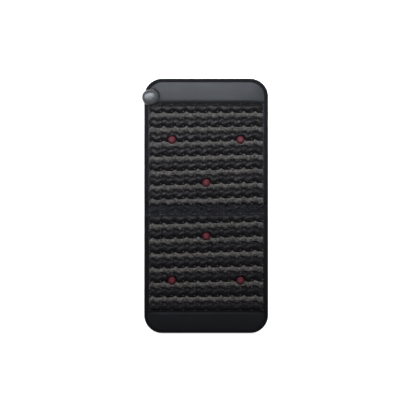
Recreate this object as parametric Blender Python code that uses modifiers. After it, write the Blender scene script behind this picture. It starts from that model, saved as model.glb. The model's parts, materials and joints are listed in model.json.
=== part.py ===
"""Stone-filled infrared heating mat that folds in half at an unfilled band across its middle.

The mat lies flat with its underside on z = 0. Its head end, which carries the connector, points to +Y.
The frame's origin is the centre of the underside. Everything is in metres.
"""

from math import cos, pi, radians, sin

import bmesh
import bpy
from mathutils import Matrix, Vector

# Overall sizes.
MAT_LENGTH = 0.9906
MAT_WIDTH = 0.4826
CORNER_RADIUS = 0.070
BINDING_WIDTH = 0.015
CLEARANCE = 0.0003

# Layout along the mat, measured from its two ends.
HEAD_END = 0.100  # from the head edge to the first row
FOOT_END = 0.090
FOLD_FROM_HEAD = 0.5084  # from the head edge to the middle of the unfilled band
BAND_LENGTH = 0.039
HEAD_ROWS = 14
FOOT_ROWS = 13
FIELD_MARGIN = 0.0046  # from the binding to the ends of the rows
WAVES = 10  # stitched scallops along a row

# Thicknesses, in the order they lie.
COVER_THICKNESS = 0.0012
FELT_THICKNESS = 0.0020
FOIL_THICKNESS = 0.0003
CABLE_DIAMETER = 0.0016
HARNESS_THICKNESS = 0.0006
BACKING_THICKNESS = 0.0008
PANEL_THICKNESS = 0.0010
LIP_THICKNESS = 0.0010
BINDING_WALL = 0.0012
ROW_HEIGHT = 0.0100
ROW_EDGE_HEIGHT = 0.0015
ROW_FULLNESS = 0.8  # under 1 makes a row's back flatter and its sides steeper

# Fold.
FOLD_AXIS_HEIGHT = 0.0050
FOLD_GAP = 0.0012  # left between the two halves' lenses when the mat is folded

# Light lenses and their modules.
LENS_RADIUS = 0.0147
LENS_WALL = 0.0015
LENS_ABOVE_ROWS = 0.0006
MODULE_RADIUS = 0.0050
EMITTER_RADIUS = 0.0025
EMITTER_HEIGHT = 0.0047
TAPE_WIDTH = 0.0030
LENS_COLUMN_WAVES = 3  # the outer lenses stand this many scallops from the middle
HEAD_LENS_ROWS = (5, 11)  # rows above the outer lenses and above the middle one
FOOT_LENS_ROWS = (9, 3)
LENS_PROFILE = (  # shares of the radius and of the rise, from the crown out to the rim
    (0, 1.00),
    (0.42, 0.96),
    (0.74, 0.82),
    (0.80, 0.70),
    (0.97, 0.58),
    (1.00, 0.46),
    (1.00, 0.00),
)
LENS_WAIST = 0.7  # share of the radius where the hollow inside narrows
SUPPLY_FROM_SIDE = 0.052  # where the supply tape ends beside the connector
SUPPLY_FROM_HEAD = 0.090
TAPE_FOLD_MARGIN = 0.004  # from a fold hinge to the tape that ends at it

# Heating cable.
CABLE_PITCH = 0.040
CABLE_SIDE_MARGIN = 0.034
CABLE_END_MARGIN = 0.030
SENSOR_X = 0.050
SENSOR_RADIUS = 0.004
SENSOR_RUN = 1.5  # cable runs down from the first

# Connector housing, an ovoid with a flat front that faces out over the mat's left edge.
HOUSING_INBOARD = 0.0207  # from the mat's left edge to the ovoid's centre
HOUSING_FROM_HEAD = 0.075
HOUSING_TURN = radians(15)
HOUSING_HALF_LENGTH = 0.036
HOUSING_HALF_WIDTH = 0.0315
HOUSING_RISE = 0.019
HOUSING_CENTRE_HEIGHT = 0.008
HOUSING_FRONT = 0.0275  # from the ovoid's centre to its flat front
HOUSING_WALL = 0.0022
PLAN_POWER = 2.2
SIDE_POWER = 3.0
BASE_LIFT = 0.0003
OVOID_SEGMENTS = 28
OVOID_RINGS = 16

# Inlet socket.
SOCKET_HEIGHT = 0.0165
SOCKET_RADIUS = 0.0050
SOCKET_BORE = 0.0041
SOCKET_LENGTH = 0.0123
SOCKET_DEPTH = 0.0090
SOCKET_SETBACK = 0.0002
PIN_RADIUS = 0.0007
PIN_CIRCLE = 0.0022
PIN_HEIGHT = 0.0032
PINS = 4

# Circuit board and the two screws that clamp the housing through the mat.
BOARD_LENGTH = 0.034
BOARD_WIDTH = 0.030
BOARD_CENTRE = 0.005
BOARD_THICKNESS = 0.0016
CHIP_SIZE = (0.012, 0.009, 0.003)
SCREW_ALONG = 0.018
SCREW_ACROSS = 0.012
SCREW_RADIUS = 0.0014
SCREW_LENGTH = 0.0165
SCREW_HEAD_RADIUS = 0.0029
SCREW_HEAD_HEIGHT = 0.0014
BOSS_RADIUS = 0.0036

# Levels that follow from the thicknesses.
HALF_WIDTH = MAT_WIDTH / 2
HEAD_EDGE = MAT_LENGTH / 2
FOOT_EDGE = -MAT_LENGTH / 2
FELT_BOTTOM = COVER_THICKNESS + CLEARANCE
FOIL_BOTTOM = FELT_BOTTOM + FELT_THICKNESS + CLEARANCE
CABLE_BOTTOM = FOIL_BOTTOM + FOIL_THICKNESS + CLEARANCE
HARNESS_BOTTOM = CABLE_BOTTOM + CABLE_DIAMETER + CLEARANCE
BACKING_BOTTOM = HARNESS_BOTTOM + HARNESS_THICKNESS + CLEARANCE
TOP_LEVEL = BACKING_BOTTOM + BACKING_THICKNESS + CLEARANCE  # where rows, panels and lenses stand
LIP_BOTTOM = TOP_LEVEL + PANEL_THICKNESS + CLEARANCE
BINDING_TOP = LIP_BOTTOM + LIP_THICKNESS
ROW_TOP = TOP_LEVEL + ROW_HEIGHT
LENS_TOP = ROW_TOP + LENS_ABOVE_ROWS
BAND_TOP = FOLD_AXIS_HEIGHT - CLEARANCE

# Places along the mat that follow from the layout.
FOLD_CENTRE = HEAD_EDGE - FOLD_FROM_HEAD
SPINE_LENGTH = 2 * (LENS_TOP - FOLD_AXIS_HEIGHT) + FOLD_GAP
HEAD_HINGE = FOLD_CENTRE + SPINE_LENGTH / 2
FOOT_HINGE = FOLD_CENTRE - SPINE_LENGTH / 2
HEAD_FIELD = (FOLD_CENTRE + BAND_LENGTH / 2, HEAD_EDGE - HEAD_END)
FOOT_FIELD = (FOOT_EDGE + FOOT_END, FOLD_CENTRE - BAND_LENGTH / 2)
HEAD_CABLE_SPAN = (HEAD_HINGE + CABLE_END_MARGIN, HEAD_FIELD[1] - CABLE_END_MARGIN)
FOOT_CABLE_SPAN = (FOOT_FIELD[0] + CABLE_END_MARGIN, FOOT_HINGE - CABLE_END_MARGIN)
FIELD_HALF_WIDTH = HALF_WIDTH - BINDING_WIDTH - FIELD_MARGIN
WAVE_LENGTH = 2 * FIELD_HALF_WIDTH / WAVES
LENS_X = LENS_COLUMN_WAVES * WAVE_LENGTH

HOUSING_CENTRE = Vector((-HALF_WIDTH + HOUSING_INBOARD, HEAD_EDGE - HOUSING_FROM_HEAD, 0))
HOUSING_FRAME = Matrix.Translation(HOUSING_CENTRE) @ Matrix.Rotation(HOUSING_TURN, 4, "Z")
BASE_TOP = FOIL_BOTTOM - CLEARANCE
SHELL_BOTTOM = BASE_TOP + CLEARANCE
BOARD_BOTTOM = BINDING_TOP + 2 * CLEARANCE
BOSS_BOTTOM = BOARD_BOTTOM + BOARD_THICKNESS + CLEARANCE
SCREW_HEAD_BOTTOM = BASE_LIFT + CLEARANCE
SCREW_TIP = SCREW_HEAD_BOTTOM + SCREW_LENGTH

# How finely curves are divided, and how near two points count as one.
CORNER_STEPS = 8
ARCH_STEPS = 8
BEND_STEPS = 4
LENS_STEPS = 20
SMALL_SIDES = 12
HOLE_SIDES = 24
PIN_SIDES = 8
SMOOTH_ANGLE = radians(35)
WELD = 1e-6
TURN_WELD = 1e-5
SLICE_REACH = 1e-7
FAR = 0.02  # how far a cutter runs past what it cuts


def clear_scene():
    for leftover in list(bpy.data.objects):
        bpy.data.objects.remove(leftover, do_unlink=True)


def new_collection(name):
    collection = bpy.data.collections.new(name)
    bpy.context.scene.collection.children.link(collection)
    return collection


def new_material(name, colour, roughness, metallic=0.0):
    material = bpy.data.materials.new(name)
    material.use_nodes = True
    shader = material.node_tree.nodes["Principled BSDF"]
    shader.inputs["Base Color"].default_value = (*colour, 1)
    shader.inputs["Roughness"].default_value = roughness
    shader.inputs["Metallic"].default_value = metallic
    return material


clear_scene()
PARTS = new_collection("infrared_heating_mat")
CUTTERS = new_collection("cutters")
CUTTERS.hide_render = True

COVER_CLOTH = new_material("cover_cloth", (0.012, 0.012, 0.014), 0.8)
DARK_CLOTH = new_material("dark_quilted_cloth", (0.018, 0.019, 0.023), 0.5)
STONE_MESH = new_material("stone_chips_under_mesh", (0.075, 0.072, 0.066), 0.85)
LEATHER = new_material("panel_leather", (0.030, 0.031, 0.037), 0.42)
BINDING_TAPE = new_material("binding_tape", (0.010, 0.010, 0.012), 0.7)
FELT = new_material("felt", (0.55, 0.53, 0.50), 0.95)
FOIL = new_material("reflective_foil", (0.80, 0.80, 0.82), 0.25, 1.0)
CABLE_SHEATH = new_material("cable_sheath", (0.70, 0.68, 0.62), 0.5)
HARNESS_TAPE = new_material("harness_tape", (0.50, 0.22, 0.05), 0.5)
LENS_PLASTIC = new_material("red_lens", (0.30, 0.010, 0.022), 0.2)
HOUSING_PLASTIC = new_material("housing_plastic", (0.045, 0.048, 0.054), 0.25)
SOCKET_PLASTIC = new_material("socket_plastic", (0.012, 0.012, 0.013), 0.4)
BOARD_RESIN = new_material("board_resin", (0.02, 0.16, 0.06), 0.45)
SCREW_STEEL = new_material("screw_steel", (0.55, 0.55, 0.56), 0.3, 1.0)


def finish_part(part, material, body):
    """Gives the part its one material and hangs it on the empty of the body it moves with."""
    part.data.materials.clear()
    part.data.materials.append(material)
    part.parent = body
    part.matrix_parent_inverse = body.matrix_basis.inverted()
    return part


def smooth(part):
    part.data.shade_smooth()
    part.data.set_sharp_from_angle(angle=SMOOTH_ANGLE)


def new_object(name, mesh, collection=PARTS):
    made = bpy.data.objects.new(name, mesh)
    collection.objects.link(made)
    if collection is CUTTERS:
        made.hide_render = True
        made.display_type = "WIRE"
    return made


def object_from_bmesh(name, shape, collection=PARTS):
    mesh = bpy.data.meshes.new(name)
    shape.to_mesh(mesh)
    shape.free()
    return new_object(name, mesh, collection)


def mesh_from_curve(name, curve, collection):
    """The curve as a closed mesh object at the place the curve would have."""
    guide = bpy.data.objects.new(name + "_curve", curve)
    PARTS.objects.link(guide)
    bpy.context.view_layer.update()
    evaluated = guide.evaluated_get(bpy.context.evaluated_depsgraph_get())
    mesh = bpy.data.meshes.new_from_object(evaluated)
    bpy.data.objects.remove(guide)
    shape = bmesh.new()
    shape.from_mesh(mesh)
    bmesh.ops.remove_doubles(shape, verts=shape.verts, dist=WELD)
    shape.to_mesh(mesh)
    shape.free()
    return new_object(name, mesh, collection)


def plate(name, outline, bottom, top, collection=PARTS):
    """A flat piece with the given outline between two heights."""
    curve = bpy.data.curves.new(name, "CURVE")
    curve.dimensions = "2D"
    curve.fill_mode = "BOTH"
    curve.extrude = (top - bottom) / 2
    spline = curve.splines.new("POLY")
    spline.points.add(len(outline) - 1)
    for point, (x, y) in zip(spline.points, outline):
        point.co = (x, y, 0, 1)
    spline.use_cyclic_u = True
    made = mesh_from_curve(name, curve, collection)
    made.data.transform(Matrix.Translation((0, 0, (top + bottom) / 2)))
    return made


def box(name, low, high, frame=None, collection=PARTS):
    low = Vector(low)
    high = Vector(high)
    size = high - low
    shape = bmesh.new()
    place = Matrix.Translation((low + high) / 2) @ Matrix.Diagonal((*size, 1))
    bmesh.ops.create_cube(shape, size=1, matrix=place)
    made = object_from_bmesh(name, shape, collection)
    if frame:
        made.matrix_world = frame
    return made


def cylinder(name, radius, bottom, top, place, sides=16, collection=CUTTERS):
    """An upright cylinder whose axis passes through place."""
    shape = bmesh.new()
    middle = Matrix.Translation((0, 0, (bottom + top) / 2))
    bmesh.ops.create_cone(
        shape,
        cap_ends=True,
        segments=sides,
        radius1=radius,
        radius2=radius,
        depth=top - bottom,
        matrix=middle,
    )
    made = object_from_bmesh(name, shape, collection)
    made.location = (place[0], place[1], 0)
    return made


def turned(name, profile, steps, place=(0, 0), collection=PARTS):
    """A solid of revolution about its local Z. The profile runs down its outer side."""
    shape = bmesh.new()
    corners = [shape.verts.new((radius, 0, height)) for radius, height in profile]
    for first, second in zip(corners, corners[1:]):
        shape.edges.new((first, second))
    made = object_from_bmesh(name, shape, collection)
    made.location = (place[0], place[1], 0)
    screw = made.modifiers.new("turn", "SCREW")
    screw.steps = steps
    screw.render_steps = steps
    screw.use_merge_vertices = True
    screw.merge_threshold = TURN_WELD
    screw.use_smooth_shade = True
    return made


def combine(part, other, operation):
    boolean = part.modifiers.new(operation.lower(), "BOOLEAN")
    boolean.operation = operation
    boolean.object = other
    boolean.solver = "EXACT"


def cut(part, *cutters):
    for cutter in cutters:
        combine(part, cutter, "DIFFERENCE")


def end_outline(inset, fold_line, end):
    """One half of the mat's outline: rounded at the end it points to and straight along the fold."""
    edge = end * (MAT_LENGTH / 2 - inset)
    side = HALF_WIDTH - inset
    radius = CORNER_RADIUS - inset
    points = [(side, fold_line)]
    for corner in (1, -1):
        for step in range(CORNER_STEPS + 1):
            turn = pi / 2 * step / CORNER_STEPS
            along, across = (cos(turn), sin(turn)) if corner > 0 else (sin(turn), cos(turn))
            x = corner * (side - radius + radius * along)
            y = edge - end * radius * (1 - across)
            points.append((x, y))
    points.append((-side, fold_line))
    return points


def mat_half_edge(end):
    """Where a half's layers stop at their fold hinge."""
    return HEAD_HINGE + CLEARANCE / 2 if end > 0 else FOOT_HINGE - CLEARANCE / 2


def half_plate(name, inset, bottom, top, end):
    return plate(name, end_outline(inset, mat_half_edge(end), end), bottom, top)


def ovoid(name, grow, bottom, top, collection=PARTS):
    """The connector's outer form, grown by a clearance or a wall, between two heights."""
    shape = bmesh.new()
    bmesh.ops.create_uvsphere(
        shape, u_segments=OVOID_SEGMENTS, v_segments=OVOID_RINGS, radius=1
    )
    for corner in shape.verts:
        plan = (abs(corner.co.x) ** PLAN_POWER + abs(corner.co.y) ** PLAN_POWER) ** (1 / PLAN_POWER)
        reach = (plan**SIDE_POWER + abs(corner.co.z) ** SIDE_POWER) ** (-1 / SIDE_POWER)
        corner.co *= reach
    radii = (HOUSING_HALF_LENGTH + grow, HOUSING_HALF_WIDTH + grow, HOUSING_RISE + grow)
    bmesh.ops.transform(shape, matrix=Matrix.Diagonal((*radii, 1)), verts=shape.verts)
    bmesh.ops.translate(shape, vec=(0, 0, HOUSING_CENTRE_HEIGHT), verts=shape.verts)
    limits = (
        ((-HOUSING_FRONT - grow, 0, 0), (-1, 0, 0)),
        ((0, 0, bottom), (0, 0, -1)),
        ((0, 0, top), (0, 0, 1)),
    )
    for point, outward in limits:
        everything = shape.verts[:] + shape.edges[:] + shape.faces[:]
        cuts = bmesh.ops.bisect_plane(
            shape,
            geom=everything,
            dist=SLICE_REACH,
            plane_co=point,
            plane_no=outward,
            clear_outer=True,
        )
        rim = [piece for piece in cuts["geom_cut"] if isinstance(piece, bmesh.types.BMEdge)]
        if rim:
            bmesh.ops.contextual_create(shape, geom=rim)
    bmesh.ops.recalc_face_normals(shape, faces=shape.faces)
    made = object_from_bmesh(name, shape, collection)
    made.matrix_world = HOUSING_FRAME
    return made


def in_housing(along, across):
    """A place given in the housing's own directions, in the mat's frame."""
    return HOUSING_FRAME @ Vector((along, across, 0))


SCREW_PLACES = [in_housing(SCREW_ALONG, side * SCREW_ACROSS) for side in (1, -1)]


def row_boundary(field, rows, count):
    """The seam below the first count rows of a field, counted from the head."""
    low, high = field
    return high - (high - low) * count / rows


def lens_places(field, count, rows_above):
    """The left, right and middle lens of a field. Each sits on a seam."""
    outer = row_boundary(field, count, rows_above[0])
    middle = row_boundary(field, count, rows_above[1])
    return (-LENS_X, outer), (LENS_X, outer), (0, middle)


HEAD_LENSES = lens_places(HEAD_FIELD, HEAD_ROWS, HEAD_LENS_ROWS)
FOOT_LENSES = lens_places(FOOT_FIELD, FOOT_ROWS, FOOT_LENS_ROWS)


def row_section(width):
    """The pillow-shaped cross-section of a filled row, across the row and up."""
    points = [(width / 2, 0)]
    for step in range(ARCH_STEPS + 1):
        turn = pi * step / ARCH_STEPS
        rise = ROW_EDGE_HEIGHT + (ROW_HEIGHT - ROW_EDGE_HEIGHT) * sin(turn) ** ROW_FULLNESS
        points.append((width / 2 * cos(turn), rise))
    points.append((-width / 2, 0))
    return points


def pocket_row(name, high, low, lenses, material, body):
    width = high - low - CLEARANCE
    made = plate(name, row_section(width), -FIELD_HALF_WIDTH, FIELD_HALF_WIDTH)
    stand = Matrix.Rotation(pi / 2, 4, "X") @ Matrix.Rotation(pi / 2, 4, "Y")
    made.data.transform(Matrix.Translation((0, (high + low) / 2, TOP_LEVEL)) @ stand)
    for number, (x, y) in enumerate(lenses, 1):
        if low - LENS_RADIUS < y < high + LENS_RADIUS:
            room = cylinder(
                f"{name}_lens_room_{number}",
                LENS_RADIUS + CLEARANCE,
                0,
                LENS_TOP + FAR,
                (x, y),
                sides=HOLE_SIDES,
            )
            cut(made, room)
    return finish_part(made, material, body)


def rows(field, count, first_dark, first_stone, lenses, body):
    """Rows alternate between dark padded cloth and stone chips, starting with a dark one."""
    made = []
    for number in range(count):
        high = row_boundary(field, count, number)
        low = row_boundary(field, count, number + 1)
        if number % 2:
            name = f"stone_pocket_row_{first_stone + number // 2:02d}"
            made.append(pocket_row(name, high, low, lenses, STONE_MESH, body))
        else:
            name = f"dark_pocket_row_{first_dark + number // 2:02d}"
            made.append(pocket_row(name, high, low, lenses, DARK_CLOTH, body))
    return made


def lens(name, place, body):
    """A domed cap with a stepped rim, open underneath."""
    rise = LENS_TOP - TOP_LEVEL
    profile = [(LENS_RADIUS * share, TOP_LEVEL + rise * height) for share, height in LENS_PROFILE]
    inner_radius = LENS_RADIUS - LENS_WALL
    shoulder = TOP_LEVEL + rise * LENS_PROFILE[-2][1] - LENS_WALL
    crown = shoulder + (LENS_TOP - LENS_WALL - shoulder) / 2
    waist = LENS_RADIUS * LENS_WAIST
    profile += [(inner_radius, TOP_LEVEL), (inner_radius, shoulder), (waist, shoulder), (0, crown)]
    return finish_part(turned(name, profile, LENS_STEPS, place), LENS_PLASTIC, body)


def light_module(name, place, collection):
    """A round board with its emitter standing up into the lens."""
    base_top = HARNESS_BOTTOM + HARNESS_THICKNESS
    profile = (
        (0, HARNESS_BOTTOM + EMITTER_HEIGHT),
        (EMITTER_RADIUS, HARNESS_BOTTOM + EMITTER_HEIGHT),
        (EMITTER_RADIUS, base_top),
        (MODULE_RADIUS, base_top),
        (MODULE_RADIUS, HARNESS_BOTTOM),
        (0, HARNESS_BOTTOM),
    )
    return turned(name, profile, SMALL_SIDES, place, collection)


def tape(name, start, end, collection):
    """A flat conductor tape between two places."""
    start = Vector(start)
    end = Vector(end)
    run = end - start
    turn = Matrix.Rotation(run.to_3d().to_2d().angle_signed(Vector((1, 0))), 4, "Z")
    frame = Matrix.Translation((*start, 0)) @ turn
    # Slightly thinner than the module boards, so that the two join without coinciding faces.
    skin = HARNESS_THICKNESS / 6
    low = (0, -TAPE_WIDTH / 2, HARNESS_BOTTOM + skin)
    high = (run.length, TAPE_WIDTH / 2, HARNESS_BOTTOM + HARNESS_THICKNESS - skin)
    return box(name, low, high, frame, collection)


def light_harness(name, lenses, supply, body):
    """Three light modules joined by tapes in a V, with a supply tape that leaves from one of them."""
    left, right, middle = lenses
    harness = light_module(name, middle, PARTS)
    pieces = [
        tape(name + "_left_tape", middle, left, CUTTERS),
        tape(name + "_right_tape", middle, right, CUTTERS),
        light_module(name + "_left_module", left, CUTTERS),
        light_module(name + "_right_module", right, CUTTERS),
    ]
    for number, (start, end) in enumerate(supply):
        pieces.append(tape(f"{name}_supply_{number}", start, end, CUTTERS))
    for piece in pieces:
        combine(harness, piece, "UNION")
    return finish_part(harness, HARNESS_TAPE, body)


def cable_runs(low, high):
    """How many steps a cable takes down its span, and how long each is."""
    runs = max(2, round((high - low) / CABLE_PITCH))
    return runs, (high - low) / runs


def heating_cable(name, low, high, body):
    """One wire laid to and fro across the mat, with a round bend at each end of a run."""
    reach = HALF_WIDTH - CABLE_SIDE_MARGIN
    runs, pitch = cable_runs(low, high)
    points = []
    for run in range(runs + 1):
        side = 1 if run % 2 else -1
        y = high - run * pitch
        points.append((-side * reach, y))
        if run == runs:
            points.append((side * reach, y))
            continue
        for step in range(BEND_STEPS):
            turn = pi * step / BEND_STEPS
            points.append((side * (reach + pitch / 2 * sin(turn)), y - pitch / 2 * (1 - cos(turn))))
    curve = bpy.data.curves.new(name, "CURVE")
    curve.dimensions = "3D"
    curve.bevel_depth = CABLE_DIAMETER / 2
    curve.bevel_resolution = 2
    curve.use_fill_caps = True
    spline = curve.splines.new("POLY")
    spline.points.add(len(points) - 1)
    height = CABLE_BOTTOM + CABLE_DIAMETER / 2
    for point, (x, y) in zip(spline.points, points):
        point.co = (x, y, height, 1)
    made = mesh_from_curve(name, curve, PARTS)
    smooth(made)
    return finish_part(made, CABLE_SHEATH, body)


def binding(name, end, body):
    """The folded tape round one half's edge: a channel that opens towards the layers it holds."""
    fold_line = mat_half_edge(end)
    outer = end_outline(0, fold_line, end)
    inner = end_outline(BINDING_WIDTH, fold_line, end)
    made = plate(name, outer + inner[::-1], 0, BINDING_TOP)
    past_fold = fold_line - end * FAR
    slot = plate(
        name + "_slot", end_outline(BINDING_WALL, past_fold, end), LIP_THICKNESS, LIP_BOTTOM, CUTTERS
    )
    cut(made, slot)
    return finish_part(made, BINDING_TAPE, body)


def fold_binding(name, side, body):
    """The same tape where it passes the band, pressed flat below the fold axes."""
    low_y = FOOT_HINGE + CLEARANCE / 2
    high_y = HEAD_HINGE - CLEARANCE / 2
    inner = HALF_WIDTH - BINDING_WIDTH
    xs = sorted((side * inner, side * HALF_WIDTH))
    made = box(name, (xs[0], low_y, 0), (xs[1], high_y, BAND_TOP))
    slot_xs = sorted((side * (inner - FAR), side * (HALF_WIDTH - BINDING_WALL)))
    slot = box(
        name + "_slot",
        (slot_xs[0], low_y - FAR, LIP_THICKNESS),
        (slot_xs[1], high_y + FAR, BAND_TOP - LIP_THICKNESS),
        collection=CUTTERS,
    )
    cut(made, slot)
    return finish_part(made, BINDING_TAPE, body)


def fold_layer(name, half_width, bottom, top, material, body):
    low_y = FOOT_HINGE + CLEARANCE / 2
    high_y = HEAD_HINGE - CLEARANCE / 2
    made = box(name, (-half_width, low_y, bottom), (half_width, high_y, top))
    return finish_part(made, material, body)


def end_panel(name, field_edge, end, body):
    """The smooth panel between the rows and the binding at one end."""
    outline = end_outline(BINDING_WALL + CLEARANCE, field_edge + end * CLEARANCE, end)
    return finish_part(plate(name, outline, TOP_LEVEL, TOP_LEVEL + PANEL_THICKNESS), LEATHER, body)


def mat_half(prefix, end, lenses, body):
    """The flat layers of one half, from the underside up. Returns them by name."""
    tucked = BINDING_WALL + CLEARANCE
    layers = {
        "back_cover": (BINDING_WIDTH + CLEARANCE, 0, COVER_THICKNESS, COVER_CLOTH),
        "insulation_felt": (tucked, FELT_BOTTOM, FELT_BOTTOM + FELT_THICKNESS, FELT),
        "reflective_foil": (BINDING_WIDTH / 2, FOIL_BOTTOM, FOIL_BOTTOM + FOIL_THICKNESS, FOIL),
        "pocket_backing": (tucked, BACKING_BOTTOM, BACKING_BOTTOM + BACKING_THICKNESS, COVER_CLOTH),
    }
    made = {}
    for layer, (inset, bottom, top, material) in layers.items():
        part = half_plate(f"{prefix}_{layer}", inset, bottom, top, end)
        made[layer] = finish_part(part, material, body)
    for number, place in enumerate(lenses, 1):
        hole = cylinder(
            f"{prefix}_emitter_hole_{number}",
            EMITTER_RADIUS + 2 * CLEARANCE,
            0,
            ROW_TOP,
            place,
            sides=SMALL_SIDES,
        )
        cut(made["pocket_backing"], hole)
    return made


def temperature_sensor(body):
    """A sealed bead between two runs of the heating cable, on the foil."""
    _, pitch = cable_runs(*HEAD_CABLE_SPAN)
    place = (SENSOR_X, HEAD_CABLE_SPAN[1] - SENSOR_RUN * pitch)
    top = CABLE_BOTTOM + CABLE_DIAMETER
    made = cylinder("temperature_sensor", SENSOR_RADIUS, CABLE_BOTTOM, top, place, collection=PARTS)
    smooth(made)
    return finish_part(made, SOCKET_PLASTIC, body)


def housing_screw(name, place, body):
    """A pan-head screw that comes up from below through the base, the mat and the board."""
    head_top = SCREW_HEAD_BOTTOM + SCREW_HEAD_HEIGHT
    profile = (
        (0, SCREW_TIP),
        (SCREW_RADIUS, SCREW_TIP),
        (SCREW_RADIUS, head_top),
        (SCREW_HEAD_RADIUS, head_top),
        (SCREW_HEAD_RADIUS, SCREW_HEAD_BOTTOM),
        (0, SCREW_HEAD_BOTTOM),
    )
    return finish_part(turned(name, profile, SMALL_SIDES, place), SCREW_STEEL, body)


def connector_cavity():
    """The space inside the top shell, with the two screw bosses left standing."""
    cavity = ovoid("connector_cavity", -HOUSING_WALL, -FAR, FAR * 2, CUTTERS)
    for number, place in enumerate(SCREW_PLACES, 1):
        boss = cylinder(f"boss_{number}", BOSS_RADIUS, BOSS_BOTTOM, FAR * 2, place)
        cut(cavity, boss)
    return cavity


def socket_frame():
    """The socket's frame: its local Z runs out of its mouth."""
    mouth = Vector((-HOUSING_FRONT + SOCKET_SETBACK, 0, SOCKET_HEIGHT))
    return HOUSING_FRAME @ Matrix.Translation(mouth) @ Matrix.Rotation(-pi / 2, 4, "Y")


def connector_top(body, screw_holes):
    """The upper shell. It sits on the mat and hangs over its left edge."""
    shell = ovoid("connector_top", 0, SHELL_BOTTOM, FAR * 2)
    mat_room = plate(
        "mat_room", end_outline(-CLEARANCE, 0, 1), -FAR, BINDING_TOP + CLEARANCE, CUTTERS
    )
    radius = SOCKET_RADIUS + CLEARANCE
    opening = cylinder("socket_opening", radius, -FAR / 2, FAR / 2, (0, 0), sides=HOLE_SIDES)
    opening.matrix_world = socket_frame()
    cut(shell, connector_cavity(), mat_room, opening, *screw_holes)
    smooth(shell)
    return finish_part(shell, HOUSING_PLASTIC, body)


def connector_base(body, screw_holes):
    """The clamping plate let into the underside below the upper shell."""
    base = ovoid("connector_base", 0, BASE_LIFT, BASE_TOP)
    cut(base, *screw_holes)
    for number, place in enumerate(SCREW_PLACES, 1):
        top = BASE_LIFT + SCREW_HEAD_HEIGHT + 2 * CLEARANCE
        recess = cylinder(f"head_recess_{number}", SCREW_HEAD_RADIUS + CLEARANCE, -FAR, top, place)
        cut(base, recess)
    smooth(base)
    return finish_part(base, HOUSING_PLASTIC, body)


def inlet_socket(body):
    """A round socket body with recessed pins. Its mouth is just inside the housing's front."""
    profile = (
        (0, -SOCKET_DEPTH),
        (SOCKET_BORE, -SOCKET_DEPTH),
        (SOCKET_BORE, 0),
        (SOCKET_RADIUS, 0),
        (SOCKET_RADIUS, -SOCKET_LENGTH),
        (0, -SOCKET_LENGTH),
    )
    socket = turned("inlet_socket", profile, HOLE_SIDES)
    sink = SOCKET_DEPTH + (SOCKET_LENGTH - SOCKET_DEPTH) / 2
    tip = SOCKET_DEPTH - PIN_HEIGHT
    for number in range(PINS):
        turn = 2 * pi * (number + 0.5) / PINS
        place = (PIN_CIRCLE * cos(turn), PIN_CIRCLE * sin(turn))
        pin = cylinder(f"socket_pin_{number}", PIN_RADIUS, -sink, -tip, place, sides=PIN_SIDES)
        pin.matrix_world = socket_frame() @ pin.matrix_basis
        combine(socket, pin, "UNION")
    socket.matrix_world = socket_frame()
    return finish_part(socket, SOCKET_PLASTIC, body)


def circuit_board(body, screw_holes):
    low_x = BOARD_CENTRE - BOARD_LENGTH / 2
    board_top = BOARD_BOTTOM + BOARD_THICKNESS
    board = box(
        "circuit_board",
        (low_x, -BOARD_WIDTH / 2, BOARD_BOTTOM),
        (low_x + BOARD_LENGTH, BOARD_WIDTH / 2, board_top),
        HOUSING_FRAME,
    )
    length, width, height = CHIP_SIZE
    chip_x = BOARD_CENTRE - length / 2
    chip = box(
        "driver_chip",
        (chip_x, -width / 2, BOARD_BOTTOM + BOARD_THICKNESS / 2),
        (chip_x + length, width / 2, board_top + height),
        HOUSING_FRAME,
        CUTTERS,
    )
    combine(board, chip, "UNION")
    cut(board, *screw_holes)
    return finish_part(board, BOARD_RESIN, body)


def pivot(name, y):
    """An empty on a body's fold axis, or at the origin for the half that stays put."""
    empty = bpy.data.objects.new(name, None)
    PARTS.objects.link(empty)
    empty.location = (0, y, FOLD_AXIS_HEIGHT if y else 0)
    return empty


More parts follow.
